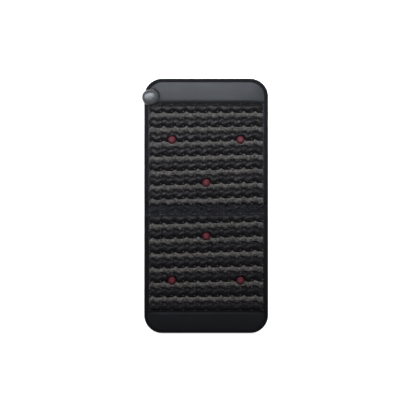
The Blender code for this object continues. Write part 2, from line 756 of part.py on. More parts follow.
def build():
    head = pivot("head_half", 0)
    band = pivot("fold_band", HEAD_HINGE)
    foot = pivot("foot_half", FOOT_HINGE)

    head_layers = mat_half("head", 1, HEAD_LENSES, head)
    mat_half("foot", -1, FOOT_LENSES, foot)
    panel = end_panel("head_panel", HEAD_FIELD[1], 1, head)
    end_panel("foot_panel", FOOT_FIELD[0], -1, foot)
    head_binding = binding("head_edge_binding", 1, head)
    binding("foot_edge_binding", -1, foot)

    head_rows = rows(HEAD_FIELD, HEAD_ROWS, 1, 1, HEAD_LENSES, head)
    rows(FOOT_FIELD, FOOT_ROWS, HEAD_ROWS // 2 + 1, HEAD_ROWS // 2 + 1, FOOT_LENSES, foot)
    for number, place in enumerate(HEAD_LENSES, 1):
        lens(f"light_lens_{number}", place, head)
    for number, place in enumerate(FOOT_LENSES, 4):
        lens(f"light_lens_{number}", place, foot)

    heating_cable("head_heating_cable", *HEAD_CABLE_SPAN, head)
    heating_cable("foot_heating_cable", *FOOT_CABLE_SPAN, foot)
    temperature_sensor(head)
    left, _, middle = HEAD_LENSES
    to_connector = (left, (-HALF_WIDTH + SUPPLY_FROM_SIDE, HEAD_EDGE - SUPPLY_FROM_HEAD))
    to_fold = (middle, (0, HEAD_HINGE + TAPE_FOLD_MARGIN))
    light_harness("head_light_harness", HEAD_LENSES, (to_connector, to_fold), head)
    from_fold = (FOOT_LENSES[2], (0, FOOT_HINGE - TAPE_FOLD_MARGIN))
    light_harness("foot_light_harness", FOOT_LENSES, (from_fold,), foot)

    band_half_width = HALF_WIDTH - BINDING_WALL - CLEARANCE
    inside_binding = HALF_WIDTH - BINDING_WIDTH - CLEARANCE
    top_low = COVER_THICKNESS + CLEARANCE
    top_high = BAND_TOP - LIP_THICKNESS - CLEARANCE
    fold_layer("fold_band_back", inside_binding, 0, COVER_THICKNESS, COVER_CLOTH, band)
    fold_layer("fold_band_top", band_half_width, top_low, top_high, DARK_CLOTH, band)
    fold_binding("fold_binding_left", -1, band)
    fold_binding("fold_binding_right", 1, band)

    screw_holes = []
    for number, place in enumerate(SCREW_PLACES, 1):
        radius = SCREW_RADIUS + CLEARANCE
        top = SCREW_TIP + CLEARANCE
        screw_holes.append(
            cylinder(f"screw_hole_{number}", radius, -FAR, top, place, sides=SMALL_SIDES)
        )
    base_room = ovoid("connector_base_room", CLEARANCE, -FAR, SHELL_BOTTOM, CUTTERS)
    row_room = ovoid("connector_row_room", CLEARANCE, 0, FAR * 2, CUTTERS)
    for part in (head_layers["back_cover"], head_layers["insulation_felt"], head_binding):
        cut(part, base_room)
    for part in (head_layers["reflective_foil"], head_layers["pocket_backing"], panel):
        cut(part, *screw_holes)
    cut(head_rows[0], row_room)
    connector_top(head, screw_holes)
    connector_base(head, screw_holes)
    inlet_socket(head)
    circuit_board(head, screw_holes)
    for number, place in enumerate(SCREW_PLACES, 1):
        housing_screw(f"housing_screw_{number}", place, head)


build()
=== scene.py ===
"""Looks of the infrared heating mat: quilted stone rows, satin rows, lenses, binding and connector.

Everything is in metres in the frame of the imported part: the head end, with the connector, points to +Y,
and the underside lies on z = 0.
"""

import json
from math import cos, exp, hypot, pi, radians, sin

import bmesh
import bpy
from mathutils import Matrix, Vector, noise


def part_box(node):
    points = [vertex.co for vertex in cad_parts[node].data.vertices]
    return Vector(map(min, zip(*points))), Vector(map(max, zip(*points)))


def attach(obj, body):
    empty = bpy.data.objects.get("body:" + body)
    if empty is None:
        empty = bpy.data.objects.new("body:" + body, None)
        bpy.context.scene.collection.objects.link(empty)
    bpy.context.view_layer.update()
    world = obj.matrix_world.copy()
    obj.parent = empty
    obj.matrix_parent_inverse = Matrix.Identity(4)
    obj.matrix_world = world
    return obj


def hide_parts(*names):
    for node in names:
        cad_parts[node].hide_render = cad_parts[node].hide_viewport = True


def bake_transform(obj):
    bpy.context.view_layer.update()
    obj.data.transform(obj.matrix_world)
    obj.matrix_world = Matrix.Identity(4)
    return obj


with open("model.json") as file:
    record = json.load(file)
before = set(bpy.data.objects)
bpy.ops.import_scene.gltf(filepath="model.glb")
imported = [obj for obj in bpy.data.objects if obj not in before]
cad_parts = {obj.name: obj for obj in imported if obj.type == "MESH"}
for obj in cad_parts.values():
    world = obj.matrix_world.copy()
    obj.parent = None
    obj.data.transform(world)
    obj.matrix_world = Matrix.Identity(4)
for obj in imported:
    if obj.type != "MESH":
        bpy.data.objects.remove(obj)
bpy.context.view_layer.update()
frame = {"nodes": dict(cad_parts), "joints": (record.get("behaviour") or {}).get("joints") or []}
NODES = frame["nodes"]

MM = 0.001

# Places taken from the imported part.
HEAD_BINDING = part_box("head_edge_binding")
FOOT_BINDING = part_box("foot_edge_binding")
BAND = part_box("fold_band_top")
HALF_WIDTH = HEAD_BINDING[1].x
HEAD_EDGE = HEAD_BINDING[1].y
FOOT_EDGE = FOOT_BINDING[0].y
BINDING_TOP = HEAD_BINDING[1].z
BAND_BINDING_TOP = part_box("fold_binding_left")[1].z
BAND_CLOTH_TOP = BAND[1].z
HEAD_HINGE = next(j["pos_m"][1] for j in frame["joints"] if j["name"] == "band_fold")
FOOT_HINGE = next(j["pos_m"][1] for j in frame["joints"] if j["name"] == "foot_fold")
BAND_MIDDLE = (HEAD_HINGE + FOOT_HINGE) / 2
ROW_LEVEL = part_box("dark_pocket_row_01")[0].z
ROW_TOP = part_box("dark_pocket_row_02")[1].z
FIELD_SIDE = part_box("dark_pocket_row_02")[1].x
HEAD_FIELD = (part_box("stone_pocket_row_07")[0].y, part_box("dark_pocket_row_01")[1].y)
FOOT_FIELD = (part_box("dark_pocket_row_14")[0].y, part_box("dark_pocket_row_08")[1].y)
PANEL_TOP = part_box("head_panel")[1].z
CLOTH_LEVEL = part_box("head_pocket_backing")[1].z

# Sizes of the real thing that the part was drawn with.
CORNER_RADIUS = 0.070
HEAD_ROWS = 14
FOOT_ROWS = 13
WAVES = 10
WAVE = 2 * FIELD_SIDE / WAVES

HOUSING_CENTRE = Vector((-HALF_WIDTH + 0.0207, HEAD_EDGE - 0.075, 0))
HOUSING_TURN = radians(15)
HOUSING_RADII = (0.036, 0.0315, 0.019)
HOUSING_MIDDLE = 0.008
HOUSING_FRONT = 0.0275
PLAN_POWER = 2.2
SIDE_POWER = 3.0
SOCKET_HEIGHT = 0.0165
SOCKET_HOLE = 0.0053

# How the seams run. The knots lie on straight lines that climb a little to the right. Between them
# a stone row swells up just after each knot and hangs down just before the next.
SEAM_LEAN = 0.0116 / 0.398
LEAN_MIDDLE = -0.010
LEAN_REACH = 0.410
SWELL_PLACE = 0.30
SAG_PLACE = 0.69
SWELL_WIDTH = 0.15
STONE_TOP = (-6.8 * MM, 7.4 * MM)
STONE_FOOT = (3.0 * MM, -6.2 * MM)
HINGE_ROOM = 0.6 * MM

TUCK = 4 * MM  # from the mat's edge to the edge of the cloths under the binding
PANEL_TUCK = 13.2 * MM
HEM_WIDTH = 10.6 * MM
HEM_PAST_FIELD = 3 * MM
BEND_REACH = 8 * MM  # how far a cloth's bend spreads into the fold band
BAND_CREASES = (-42 * MM, 14 * MM)  # where the top cloth is drawn finely
BAND_BENDS = (-34 * MM, 8 * MM)  # where the back cloth is
STITCH_LINE = 12.4 * MM
STITCH_SHARE = 0.955
WALL = 0.8 * MM
HOUSING_WALL = 1.6 * MM
SCREW_RECESS = 1.9 * MM
SKIN = 0.1 * MM  # how far a cloth's surface keeps inside the solid it stands for
CLOTH_TRAVEL = 2.5 * MM
KNOT_GRIP = 2.8 * MM
BAND_SCALE = 0.31416  # gives the band texture one band for each pitch


def smoothstep(value):
    value = min(1.0, max(0.0, value))
    return value * value * (3 - 2 * value)


def blend_to(first, second, share):
    return first + (second - first) * share


def end_name(head, rest):
    return ("head_" if head else "foot_") + rest


# ---------------------------------------------------------------- shader writing


class Wire:
    """A node socket that can be written into an expression."""

    def __init__(self, finish, socket):
        self.finish = finish
        self.socket = socket

    def maths(self, operation, first, second):
        return self.finish.node("ShaderNodeMath", {"operation": operation}, {0: first, 1: second})

    def __add__(self, other):
        return self.maths("ADD", self, other)

    def __mul__(self, other):
        return self.maths("MULTIPLY", self, other)

    def __rsub__(self, other):
        return self.maths("SUBTRACT", other, self)


class Finish:
    """A material and the few ways its nodes are added."""

    def __init__(self, name, colour, roughness, **constants):
        self.material = bpy.data.materials.new(name)
        self.material.use_nodes = True
        self.tree = self.material.node_tree
        self.shader = self.tree.nodes["Principled BSDF"]
        self.set("Base Color", (*colour, 1))
        self.set("Roughness", roughness)
        for socket, value in constants.items():
            self.set(socket.replace("_", " "), value)
        self.material.diffuse_color = (*colour, 1)

    def set(self, socket, value):
        target = self.shader.inputs[socket]
        if isinstance(value, Wire):
            self.tree.links.new(value.socket, target)
        else:
            target.default_value = value

    def node(self, kind, settings=None, inputs=None, output=0):
        made = self.tree.nodes.new(kind)
        for key, value in (settings or {}).items():
            if key == "stops":
                ramp = made.color_ramp
                while len(ramp.elements) < len(value):
                    ramp.elements.new(1.0)
                for element, (place, colour) in zip(ramp.elements, value):
                    element.position = place
                    element.color = (*colour, 1)
            else:
                setattr(made, key, value)
        for key, value in (inputs or {}).items():
            if isinstance(value, Wire):
                self.tree.links.new(value.socket, made.inputs[key])
            elif value is not None:
                made.inputs[key].default_value = value
        return Wire(self, made.outputs[output])

    def place(self, kind="Object"):
        return self.node("ShaderNodeTexCoord", output=("UV" if kind == "UV" else "Object"))

    def scaled(self, vector, scale, turn=0.0):
        inputs = {"Vector": vector, "Scale": scale, "Rotation": (0, 0, turn)}
        return self.node("ShaderNodeMapping", None, inputs)

    def noise(self, vector, scale, detail=2.0, rough=0.5, lift=0.0):
        inputs = {
            "Vector": vector,
            "Scale": scale,
            "Detail": detail,
            "Roughness": rough,
            "Distortion": lift,
        }
        return self.node("ShaderNodeTexNoise", None, inputs)

    def cells(self, vector, scale, feature="F1", output=0, random=1.0):
        inputs = {"Vector": vector, "Scale": scale, "Randomness": random}
        return self.node("ShaderNodeTexVoronoi", {"feature": feature}, inputs, output)

    def bands(self, vector, scale, direction):
        settings = {"wave_type": "BANDS", "bands_direction": direction, "wave_profile": "SIN"}
        return self.node("ShaderNodeTexWave", settings, {"Vector": vector, "Scale": scale})

    def ramp(self, value, *stops):
        return self.node("ShaderNodeValToRGB", {"stops": stops}, {0: value})

    def mix(self, share, first, second):
        settings = {"data_type": "RGBA"}
        first = (*first, 1) if isinstance(first, tuple) else first
        second = (*second, 1) if isinstance(second, tuple) else second
        return self.node("ShaderNodeMix", settings, {0: share, 6: first, 7: second}, 2)

    def span(self, value, low, high, to_low, to_high):
        inputs = {0: value, 1: low, 2: high, 3: to_low, 4: to_high}
        return self.node("ShaderNodeMapRange", None, inputs)

    def raise_from(self, height, distance, strength=1.0, under=None):
        inputs = {"Height": height, "Distance": distance, "Strength": strength, "Normal": under}
        return self.node("ShaderNodeBump", None, inputs)

    def dress(self, colours, shine, relief):
        """Sets what varies: (share, darker, lighter), (value, low, high) and (height, distance, strength)."""
        self.set("Base Color", self.mix(*colours))
        if shine:
            value, low, high = shine
            self.set("Roughness", self.span(value, 0.3, 0.7, low, high))
        self.set("Normal", self.raise_from(*relief))
        return self.material


def weave(finish, vector, pitch):
    """The height of a plain weave whose yarns are one pitch apart."""
    across = finish.bands(vector, BAND_SCALE / pitch, "X")
    along = finish.bands(vector, BAND_SCALE / pitch, "Y")
    return across * along + (1 - across) * (1 - along)


def satin_cloth():
    made = Finish("satin_quilting_cloth", (0.008, 0.0083, 0.011), 0.40, Specular_IOR_Level=0.45)
    uv = made.place("UV")
    cloud = made.noise(uv, 34.0, 3.0)
    made.set("Specular Tint", (1.0, 0.95, 0.87, 1))
    creases = made.raise_from(made.noise(made.scaled(uv, (60, 130, 1), 0.5), 1.0, 2.0), 0.0009, 0.35)
    return made.dress(
        (cloud, (0.0042, 0.0041, 0.0049), (0.0086, 0.0084, 0.0099)),
        (made.noise(uv, 90.0, 2.0), 0.34, 0.47),
        (weave(made, uv, 0.0005), 0.00008, 0.35, creases),
    )


def plain_cloth(name, colour, lighter, pitch, roughness, gloss):
    made = Finish(name, colour, roughness, Specular_IOR_Level=gloss)
    uv = made.place("UV")
    threads = weave(made, uv, pitch)
    cloud = made.noise(uv, 22.0, 4.0, 0.6)
    shine = (cloud, roughness - 0.06, roughness + 0.08)
    return made.dress((threads * 0.55 + cloud * 0.45, colour, lighter), shine, (threads, 0.00012, 0.6))


def stone_cloth():
    """Dark mesh drawn tight over stone chips: each chip shows through in its own grey or brown."""
    made = Finish("stone_chips_under_mesh", (0.08, 0.075, 0.07), 0.72, Specular_IOR_Level=0.30)
    here = made.place()
    warped = made.noise(here, 60.0, 2.0)
    chips = made.cells(here, 190.0, "F1", 1)
    tone = made.node("ShaderNodeSeparateColor", None, {0: chips})
    colour = made.ramp(
        tone * 0.75 + warped * 0.25,
        (0.0, (0.020, 0.019, 0.018)),
        (0.22, (0.060, 0.058, 0.057)),
        (0.45, (0.112, 0.107, 0.104)),
        (0.68, (0.150, 0.143, 0.138)),
        (0.86, (0.128, 0.112, 0.102)),
        (1.0, (0.205, 0.196, 0.190)),
    )
    gaps = made.cells(here, 190.0, "DISTANCE_TO_EDGE", 0)
    seam = made.span(gaps, 0.0, 0.16, 0.0, 1.0)
    colour = made.mix(seam, (0.016, 0.015, 0.014), colour)
    uv = made.place("UV")
    net = weave(made, uv, 0.0009)
    made.set("Base Color", made.mix(net * 0.45, colour, (0.030, 0.029, 0.028)))
    made.set("Roughness", made.span(tone, 0.0, 1.0, 0.60, 0.85))
    rough = made.raise_from(seam * 0.7 + made.noise(here, 420.0, 4.0, 0.6) * 0.5, 0.0009, 0.75)
    made.set("Normal", made.raise_from(net, 0.00018, 0.5, rough))
    return made.material


def leather():
    made = Finish("panel_leather", (0.0085, 0.009, 0.0105), 0.40, Specular_IOR_Level=0.55)
    uv = made.place("UV")
    grain = made.cells(uv, 900.0, "DISTANCE_TO_EDGE")
    folds = made.noise(uv, 160.0, 4.0, 0.62)
    cloud = made.noise(uv, 9.0, 3.0)
    made.set("Base Color", made.mix(cloud, (0.0066, 0.0070, 0.0082), (0.0108, 0.0114, 0.0128)))
    made.set("Roughness", made.span(folds + cloud * 0.5, 0.4, 1.1, 0.33, 0.50))
    creases = made.raise_from(folds, 0.0006, 0.35)
    made.set("Normal", made.raise_from(made.span(grain, 0, 0.25, 0, 1), 0.00012, 0.5, creases))
    return made.material


def ribbed_tape():
    made = Finish("binding_tape", (0.007, 0.007, 0.008), 0.62, Specular_IOR_Level=0.22)
    uv = made.place("UV")
    ribs = made.bands(uv, BAND_SCALE / 0.0011, "X")
    cloud = made.noise(uv, 40.0, 3.0)
    colours = (ribs * 0.5 + cloud * 0.5, (0.0030, 0.0030, 0.0036), (0.0085, 0.0085, 0.0096))
    return made.dress(colours, (cloud, 0.55, 0.72), (ribs, 0.00016, 0.55))


def thread(name, colour, darker):
    made = Finish(name, colour, 0.6, Specular_IOR_Level=0.3)
    here = made.place()
    twist = made.bands(made.scaled(here, (1, 1, 1), 0.7), BAND_SCALE / 0.0006, "X")
    made.set("Roughness", made.span(twist, 0, 1, 0.5, 0.7))
    fluff = made.noise(here, 700.0)
    return made.dress((twist * 0.6 + fluff * 0.4, darker, colour), None, (twist, 0.0001, 0.6))


def lens_plastic():
    """Frosted over the middle, clear and deep at the rim, and bright red over the emitter, where a faint painted
    glow is added.
    """
    made = Finish("red_lens", (0.2, 0.02, 0.03), 0.3, Specular_IOR_Level=0.5)
    uv = made.place("UV")
    parts = made.node("ShaderNodeSeparateXYZ", None, {0: uv})
    radius = made.node("ShaderNodeMath", {"operation": "ABSOLUTE"}, {0: parts})
    frost = made.noise(made.place(), 300.0, 3.0)
    colour = made.ramp(
        radius,
        (0.00, (0.38, 0.012, 0.030)),
        (0.15, (0.23, 0.011, 0.025)),
        (0.24, (0.058, 0.018, 0.023)),
        (0.42, (0.068, 0.021, 0.027)),
        (0.56, (0.050, 0.016, 0.020)),
        (0.74, (0.060, 0.014, 0.019)),
        (0.86, (0.090, 0.005, 0.013)),
        (1.00, (0.060, 0.003, 0.008)),
    )
    made.set("Base Color", made.mix(frost * 0.25, colour, (0.06, 0.02, 0.024)))
    made.set("Roughness", made.span(radius, 0.70, 0.85, 0.50, 0.18))
    # Painted glow: the middle of the lens gives off a faint red light of its own, with no lamp behind it.
    made.set("Emission Color", made.ramp(radius, (0.0, (1, 0.02, 0.06)), (0.24, (0.0, 0.0, 0.0))))
    made.set("Emission Strength", 0.025)
    made.set("Normal", made.raise_from(frost, 0.0002, 0.25))
    return made.material


def moulded(name, colour, darker, roughness, coat, bump):
    made = Finish(name, colour, roughness, Specular_IOR_Level=0.5)
    made.set("Coat Weight", coat)
    made.set("Coat Roughness", 0.06)
    here = made.place()
    cloud = made.noise(here, 55.0, 4.0, 0.55)
    shine = (made.noise(here, 120.0, 2.0), roughness, roughness + 0.04)
    return made.dress((cloud, darker, colour), shine, (made.noise(here, 1500.0, 2.0), bump, 0.2))


def felt_wool():
    made = Finish("insulation_felt", (0.52, 0.50, 0.47), 0.95, Specular_IOR_Level=0.1)
    here = made.place()
    hairs = made.noise(made.scaled(here, (1, 2.6, 1), 0.6), 520.0, 5.0, 0.7, 1.4)
    return made.dress((hairs, (0.38, 0.365, 0.34), (0.66, 0.64, 0.61)), None, (hairs, 0.0006, 0.8))


def crinkled_foil():
    made = Finish("reflective_foil", (0.78, 0.78, 0.80), 0.25, Metallic=1.0)
    here = made.place()
    cloud = made.noise(here, 30.0)
    colours = (cloud, (0.68, 0.68, 0.71), (0.84, 0.84, 0.86))
    return made.dress(colours, (cloud, 0.18, 0.34), (made.cells(here, 95.0), 0.0012, 0.7))


def silicone():
    made = Finish("cable_sheath", (0.68, 0.66, 0.60), 0.48, Specular_IOR_Level=0.35)
    here = made.place()
    cloud = made.noise(here, 80.0, 3.0)
    colours = (cloud, (0.58, 0.56, 0.50), (0.74, 0.72, 0.66))
    return made.dress(colours, (cloud, 0.42, 0.56), (made.noise(here, 1500.0), 0.00006, 0.4))


def conductor_tape():
    made = Finish("harness_tape", (0.50, 0.22, 0.05), 0.38, Specular_IOR_Level=0.5)
    here = made.place()
    tracks = made.bands(made.scaled(here, (1, 1, 1), 0.78), BAND_SCALE / 0.0012, "Y")
    cloud = made.noise(here, 60.0, 3.0)
    colours = (tracks * 0.6 + cloud * 0.3, (0.40, 0.15, 0.03), (0.60, 0.30, 0.08))
    return made.dress(colours, (cloud, 0.30, 0.45), (tracks, 0.00008, 0.5))


def board():
    made = Finish("board_resin", (0.02, 0.16, 0.06), 0.40, Specular_IOR_Level=0.5)
    here = made.place()
    tracks = made.cells(here, 420.0, "DISTANCE_TO_EDGE")
    line = made.span(tracks, 0.02, 0.07, 1.0, 0.0)
    colours = (line, (0.012, 0.11, 0.045), (0.07, 0.27, 0.11))
    return made.dress(colours, (made.noise(here, 160.0), 0.32, 0.46), (line, 0.00006, 0.6))


def plated_steel():
    made = Finish("screw_steel", (0.56, 0.56, 0.57), 0.28, Metallic=1.0)
    here = made.place()
    turned = made.noise(made.scaled(here, (1, 1, 12)), 500.0, 3.0)
    colours = (turned, (0.46, 0.46, 0.47), (0.64, 0.64, 0.65))
    return made.dress(colours, (turned, 0.20, 0.38), (turned, 0.00005, 0.4))


SATIN = satin_cloth()
TOP_CLOTH = plain_cloth("pocket_base_cloth", (0.0042, 0.0042, 0.0050), (0.0094, 0.0094, 0.0108), 0.0006, 0.46, 0.40)
BACK_CLOTH = plain_cloth("back_cover_cloth", (0.0060, 0.0060, 0.0068), (0.0190, 0.0190, 0.0210), 0.0008, 0.72, 0.18)
STONE = stone_cloth()
LEATHER = leather()
TAPE = ribbed_tape()
KNOT_THREAD = thread("knot_thread", (0.17, 0.17, 0.18), (0.08, 0.08, 0.09))
SEAM_THREAD = thread("seam_thread", (0.045, 0.046, 0.052), (0.014, 0.014, 0.017))
LENS = lens_plastic()
HOUSING = moulded("housing_plastic", (0.056, 0.058, 0.061), (0.044, 0.047, 0.050), 0.26, 0.25, 0.00002)
BLACK_PLASTIC = moulded("socket_plastic", (0.012, 0.012, 0.013), (0.007, 0.007, 0.008), 0.38, 0.0, 0.00006)
FELT = felt_wool()
FOIL = crinkled_foil()
SHEATH = silicone()
HARNESS = conductor_tape()
BOARD = board()
STEEL = plated_steel()


# ---------------------------------------------------------------- mesh helpers


def finished(name, shape, material, body=None, replaces=()):
    mesh = bpy.data.meshes.new(name)
    shape.to_mesh(mesh)
    shape.free()
    mesh.shade_smooth()
    made = bpy.data.objects.new(name, mesh)
    bpy.context.scene.collection.objects.link(made)
    mesh.materials.append(material)
    if replaces:
        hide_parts(*replaces)
    if body:
        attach(made, body)
    return made


def surface(columns, lines, place, lay=None):
    """A grid whose corners run over s and t from 0 to 1, each put where place(s, t) says.

    lay(s, t) gives the cloth's own flat coordinates in metres.
    """
    shape = bmesh.new()
    bmesh.ops.create_grid(shape, x_segments=columns, y_segments=lines, size=1.0)
    uv = shape.loops.layers.uv.new("UVMap")
    shares = {}
    for corner in shape.verts:
        s = corner.co.x / 2 + 0.5
        t = corner.co.y / 2 + 0.5
        shares[corner] = (s, t)
        corner.co = Vector(place(s, t))
    for face in shape.faces:
        for loop in face.loops:
            s, t = shares[loop.vert]
            loop[uv].uv = lay(s, t) if lay else (loop.vert.co.x, loop.vert.co.y)
    return shape


def baked(made):
    """Applies an object's modifiers."""
    graph = bpy.context.evaluated_depsgraph_get()
    mesh = bpy.data.meshes.new_from_object(made.evaluated_get(graph))
    made.modifiers.clear()
    old = made.data
    made.data = mesh
    bpy.data.meshes.remove(old)


def face_up(shape):
    """Turns every face outward, going by the highest one."""
    bmesh.ops.recalc_face_normals(shape, faces=shape.faces)
    highest = max(shape.faces, key=lambda face: face.calc_center_median().z)
    if highest.normal.z < 0:
        bmesh.ops.reverse_faces(shape, faces=shape.faces)


def thicken(made, thickness):
    """Gives a skin its thickness, on the inner side."""
    wall = made.modifiers.new("wall", "SOLIDIFY")
    wall.thickness = thickness
    wall.offset = -1
    baked(made)


def rounded(made, level):
    """Subdivides an open pillow once and closes it down to the level it stands on."""
    smoother = made.modifiers.new("round", "SUBSURF")
    smoother.levels = smoother.render_levels = 1
    baked(made)
    close_below(made, level)


def grown_from(shape, rim):
    """Extrudes open edges and returns the new corners and the new open edges."""
    grown = bmesh.ops.extrude_edge_only(shape, edges=rim)["geom"]
    corners = [piece for piece in grown if isinstance(piece, bmesh.types.BMVert)]
    edges = [piece for piece in grown if isinstance(piece, bmesh.types.BMEdge) and piece.is_boundary]
    return corners, edges


def close_below(made, level):
    """Closes an open pillow: its edge is drawn down to the level it stands on and filled."""
    shape = bmesh.new()
    shape.from_mesh(made.data)
    rim = [edge for edge in shape.edges if edge.is_boundary]
    skirt, foot = grown_from(shape, rim)
    for corner in skirt:
        corner.co.z = level
    bmesh.ops.holes_fill(shape, edges=foot, sides=0)
    bmesh.ops.recalc_face_normals(shape, faces=shape.faces)
    shape.to_mesh(made.data)
    shape.free()
    made.data.shade_smooth()


# ---------------------------------------------------------------- where the seams run


def swelling(x, place):
    """A bump that comes once between each two knots, at a share of the way."""
    away = (x / WAVE - place + 0.5) % 1 - 0.5
    return exp(-((away / SWELL_WIDTH) ** 2))


class Seam:
    """One sewn line across the mat: its knots, and the wavy edge where the rows beside it meet."""

    def __init__(self, home, kind):
        self.home = home
        self.kind = kind
        lean = SEAM_LEAN * max(0.0, 1 - ((home - LEAN_MIDDLE) / LEAN_REACH) ** 2)
        to_fold = min(abs(home - HEAD_HINGE), abs(home - FOOT_HINGE))
        self.lean = min(lean, (2.6 * MM + max(0.0, to_fold - 5 * MM) * 0.085) / FIELD_SIDE)

    def line(self, x):
        return self.home + self.lean * x

    def edge(self, x):
        y = self.line(x)
        if self.kind == "stone top":
            y += STONE_TOP[0] + STONE_TOP[1] * swelling(x, SWELL_PLACE)
        elif self.kind == "stone foot":
            y += STONE_FOOT[0] + STONE_FOOT[1] * swelling(x, SAG_PLACE)
        elif self.kind == "below fold":
            y += 1.6 * MM * (swelling(x, SWELL_PLACE) - swelling(x, SAG_PLACE))
        else:
            y += 0.5 * MM * sin(2 * pi * x / WAVE)
        if self.home > BAND_MIDDLE:
            return max(y, HEAD_HINGE + HINGE_ROOM)
        return min(y, FOOT_HINGE - HINGE_ROOM)


def seams_of(field, count, first, last):
    """The seams of one half from the head side on: satin and stone rows take turns between them."""
    low, high = field
    made = []
    for number in range(count + 1):
        kind = first if number == 0 else last if number == count else None
        kind = kind or ("stone top" if number % 2 else "stone foot")
        made.append(Seam(high - (high - low) * number / count, kind))
    return made


HEAD_SEAMS = seams_of(HEAD_FIELD, HEAD_ROWS, "hem", "stone foot")
FOOT_SEAMS = seams_of(FOOT_FIELD, FOOT_ROWS, "below fold", "hem")
NODE_XS = [WAVE * number for number in range(-WAVES // 2, WAVES // 2 + 1)]
LENS_PLACES = []
for number in range(1, 7):
    low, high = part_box(f"light_lens_{number}")
    LENS_PLACES.append(((low.x + high.x) / 2, (low.y + high.y) / 2))
LENS_RADIUS = (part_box("light_lens_1")[1].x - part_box("light_lens_1")[0].x) / 2


def from_knot(seam, x, y):
    """How far a place is from the closest knot on a seam."""
    node = round(x / WAVE) * WAVE
    return hypot(x - node, y - seam.line(node))


def inside_housing(x, y, grow):
    """Where a place is on the way from the connector's middle, 0, to the edge of its grown plan, 1."""
    along = (x - HOUSING_CENTRE.x) * cos(HOUSING_TURN) + (y - HOUSING_CENTRE.y) * sin(HOUSING_TURN)
    across = -(x - HOUSING_CENTRE.x) * sin(HOUSING_TURN) + (y - HOUSING_CENTRE.y) * cos(HOUSING_TURN)
    return hypot(along / (HOUSING_RADII[0] + grow), across / (HOUSING_RADII[1] + grow))


# ---------------------------------------------------------------- rows

DARK_CELL = 2.0 * MM
STONE_CELL = 1.6 * MM
ROW_LIFT = ROW_LEVEL + 0.9 * MM  # where a row's cloth leaves its seams


def kept_clear(x, y, low, high):
    """Where a row's cloth has to go round a lens or the connector instead."""
    for cx, cy in LENS_PLACES:
        dx = x - cx
        dy = y - cy
        reach = hypot(dx, dy)
        room = LENS_RADIUS + 0.9 * MM
        if reach < room and low - room < cy < high + room:
            push = room / max(reach, 1e-6)
            middle = (low + high) / 2
            side = 1 if middle > cy else -1
            if abs(dx) < room:
                edge = (room**2 - dx**2) ** 0.5
                y = cy + side * max(edge, abs(dy) if dy * side > 0 else edge)
            else:
                x, y = cx + dx * push, cy + dy * push
    return x, y


def near_lens(x, y):
    return min(hypot(x - cx, y - cy) for cx, cy in LENS_PLACES) - LENS_RADIUS


def row_height(x, y, across, high, low, fullness, dip, reach):
    """The pillow form of a filled row, before its cloth or its stones shape it further."""
    crown = (1 - abs(2 * across - 1) ** fullness) ** 0.62
    pinch = 1.0
    for seam in (high, low):
        pinch -= dip * exp(-((from_knot(seam, x, y) / reach) ** 2))
    waist = 1 - 0.12 * (0.5 + 0.5 * cos(2 * pi * x / WAVE))
    ends = smoothstep((FIELD_SIDE - abs(x)) / (13 * MM)) ** 0.6
    lens = smoothstep((near_lens(x, y) - 0.6 * MM) / (9 * MM)) ** 0.6
    lens = blend_to(0.35, 1.0, lens)
    return crown * max(0.12, pinch) * waist * blend_to(0.12, 1.0, ends) * lens


def row_sheet(upper, lower, cell, height_at):
    """The open top of one row, from its left end to its right end."""
    columns = round(2 * FIELD_SIDE / cell)
    lines = round((upper.home - lower.home) / cell)
    inset = 0.35 * MM

    def place(s, t):
        x = FIELD_SIDE * (2 * s - 1)
        low = lower.edge(x) + inset
        high = upper.edge(x) - inset
        y = blend_to(low, high, t)
        x, y = kept_clear(x, y, lower.home, upper.home)
        depth = inside_housing(x, y, 1.2 * MM)
        if depth < 1:
            y = HOUSING_CENTRE.y + (y - HOUSING_CENTRE.y) / max(depth, 0.2)
            y = min(y, blend_to(low, high, 0.5))
        return x, y, height_at(x, y, t)

    def lay(s, t):
        return (FIELD_SIDE * (2 * s - 1), blend_to(lower.home, upper.home, t))

    return surface(columns, lines, place, lay)


def simulated(made, upper, lower, frames, pressure, slack):
    """Blows the sewn-down cloth up a little, so that it creases where it is drawn in."""
    pins = made.vertex_groups.new(name="pins")
    shape = bmesh.new()
    shape.from_mesh(made.data)
    held = []
    for corner in shape.verts:
        sewn = min(from_knot(seam, corner.co.x, corner.co.y) for seam in (upper, lower))
        if corner.is_boundary or sewn < KNOT_GRIP:
            held.append(corner.index)
    shape.free()
    pins.add(held, 1.0, "REPLACE")
    start = [corner.co.copy() for corner in made.data.vertices]
    cloth = made.modifiers.new("cloth", "CLOTH")
    settings = cloth.settings
    settings.quality = 4
    settings.mass = 0.0004
    settings.tension_stiffness = 12
    settings.compression_stiffness = 12
    settings.shear_stiffness = 6
    settings.bending_stiffness = 0.06
    settings.air_damping = 2
    settings.use_pressure = True
    settings.uniform_pressure_force = pressure
    settings.shrink_min = -slack
    settings.vertex_group_mass = "pins"
    settings.effector_weights.gravity = 0
    cloth.collision_settings.use_collision = False
    scene = bpy.context.scene
    cloth.point_cache.frame_start = 1
    cloth.point_cache.frame_end = frames
    for moment in range(1, frames + 1):
        scene.frame_set(moment)
    graph = bpy.context.evaluated_depsgraph_get()
    moved = [corner.co.copy() for corner in made.evaluated_get(graph).data.vertices]
    made.modifiers.clear()
    made.vertex_groups.clear()
    scene.frame_set(1)
    for corner, old, new in zip(made.data.vertices, start, moved):
        step = new - old
        if step.length > CLOTH_TRAVEL:
            step *= CLOTH_TRAVEL / step.length
        corner.co = old + step
        corner.co.z = max(ROW_LEVEL + 0.4 * MM, min(corner.co.z, ROW_TOP + 0.2 * MM))


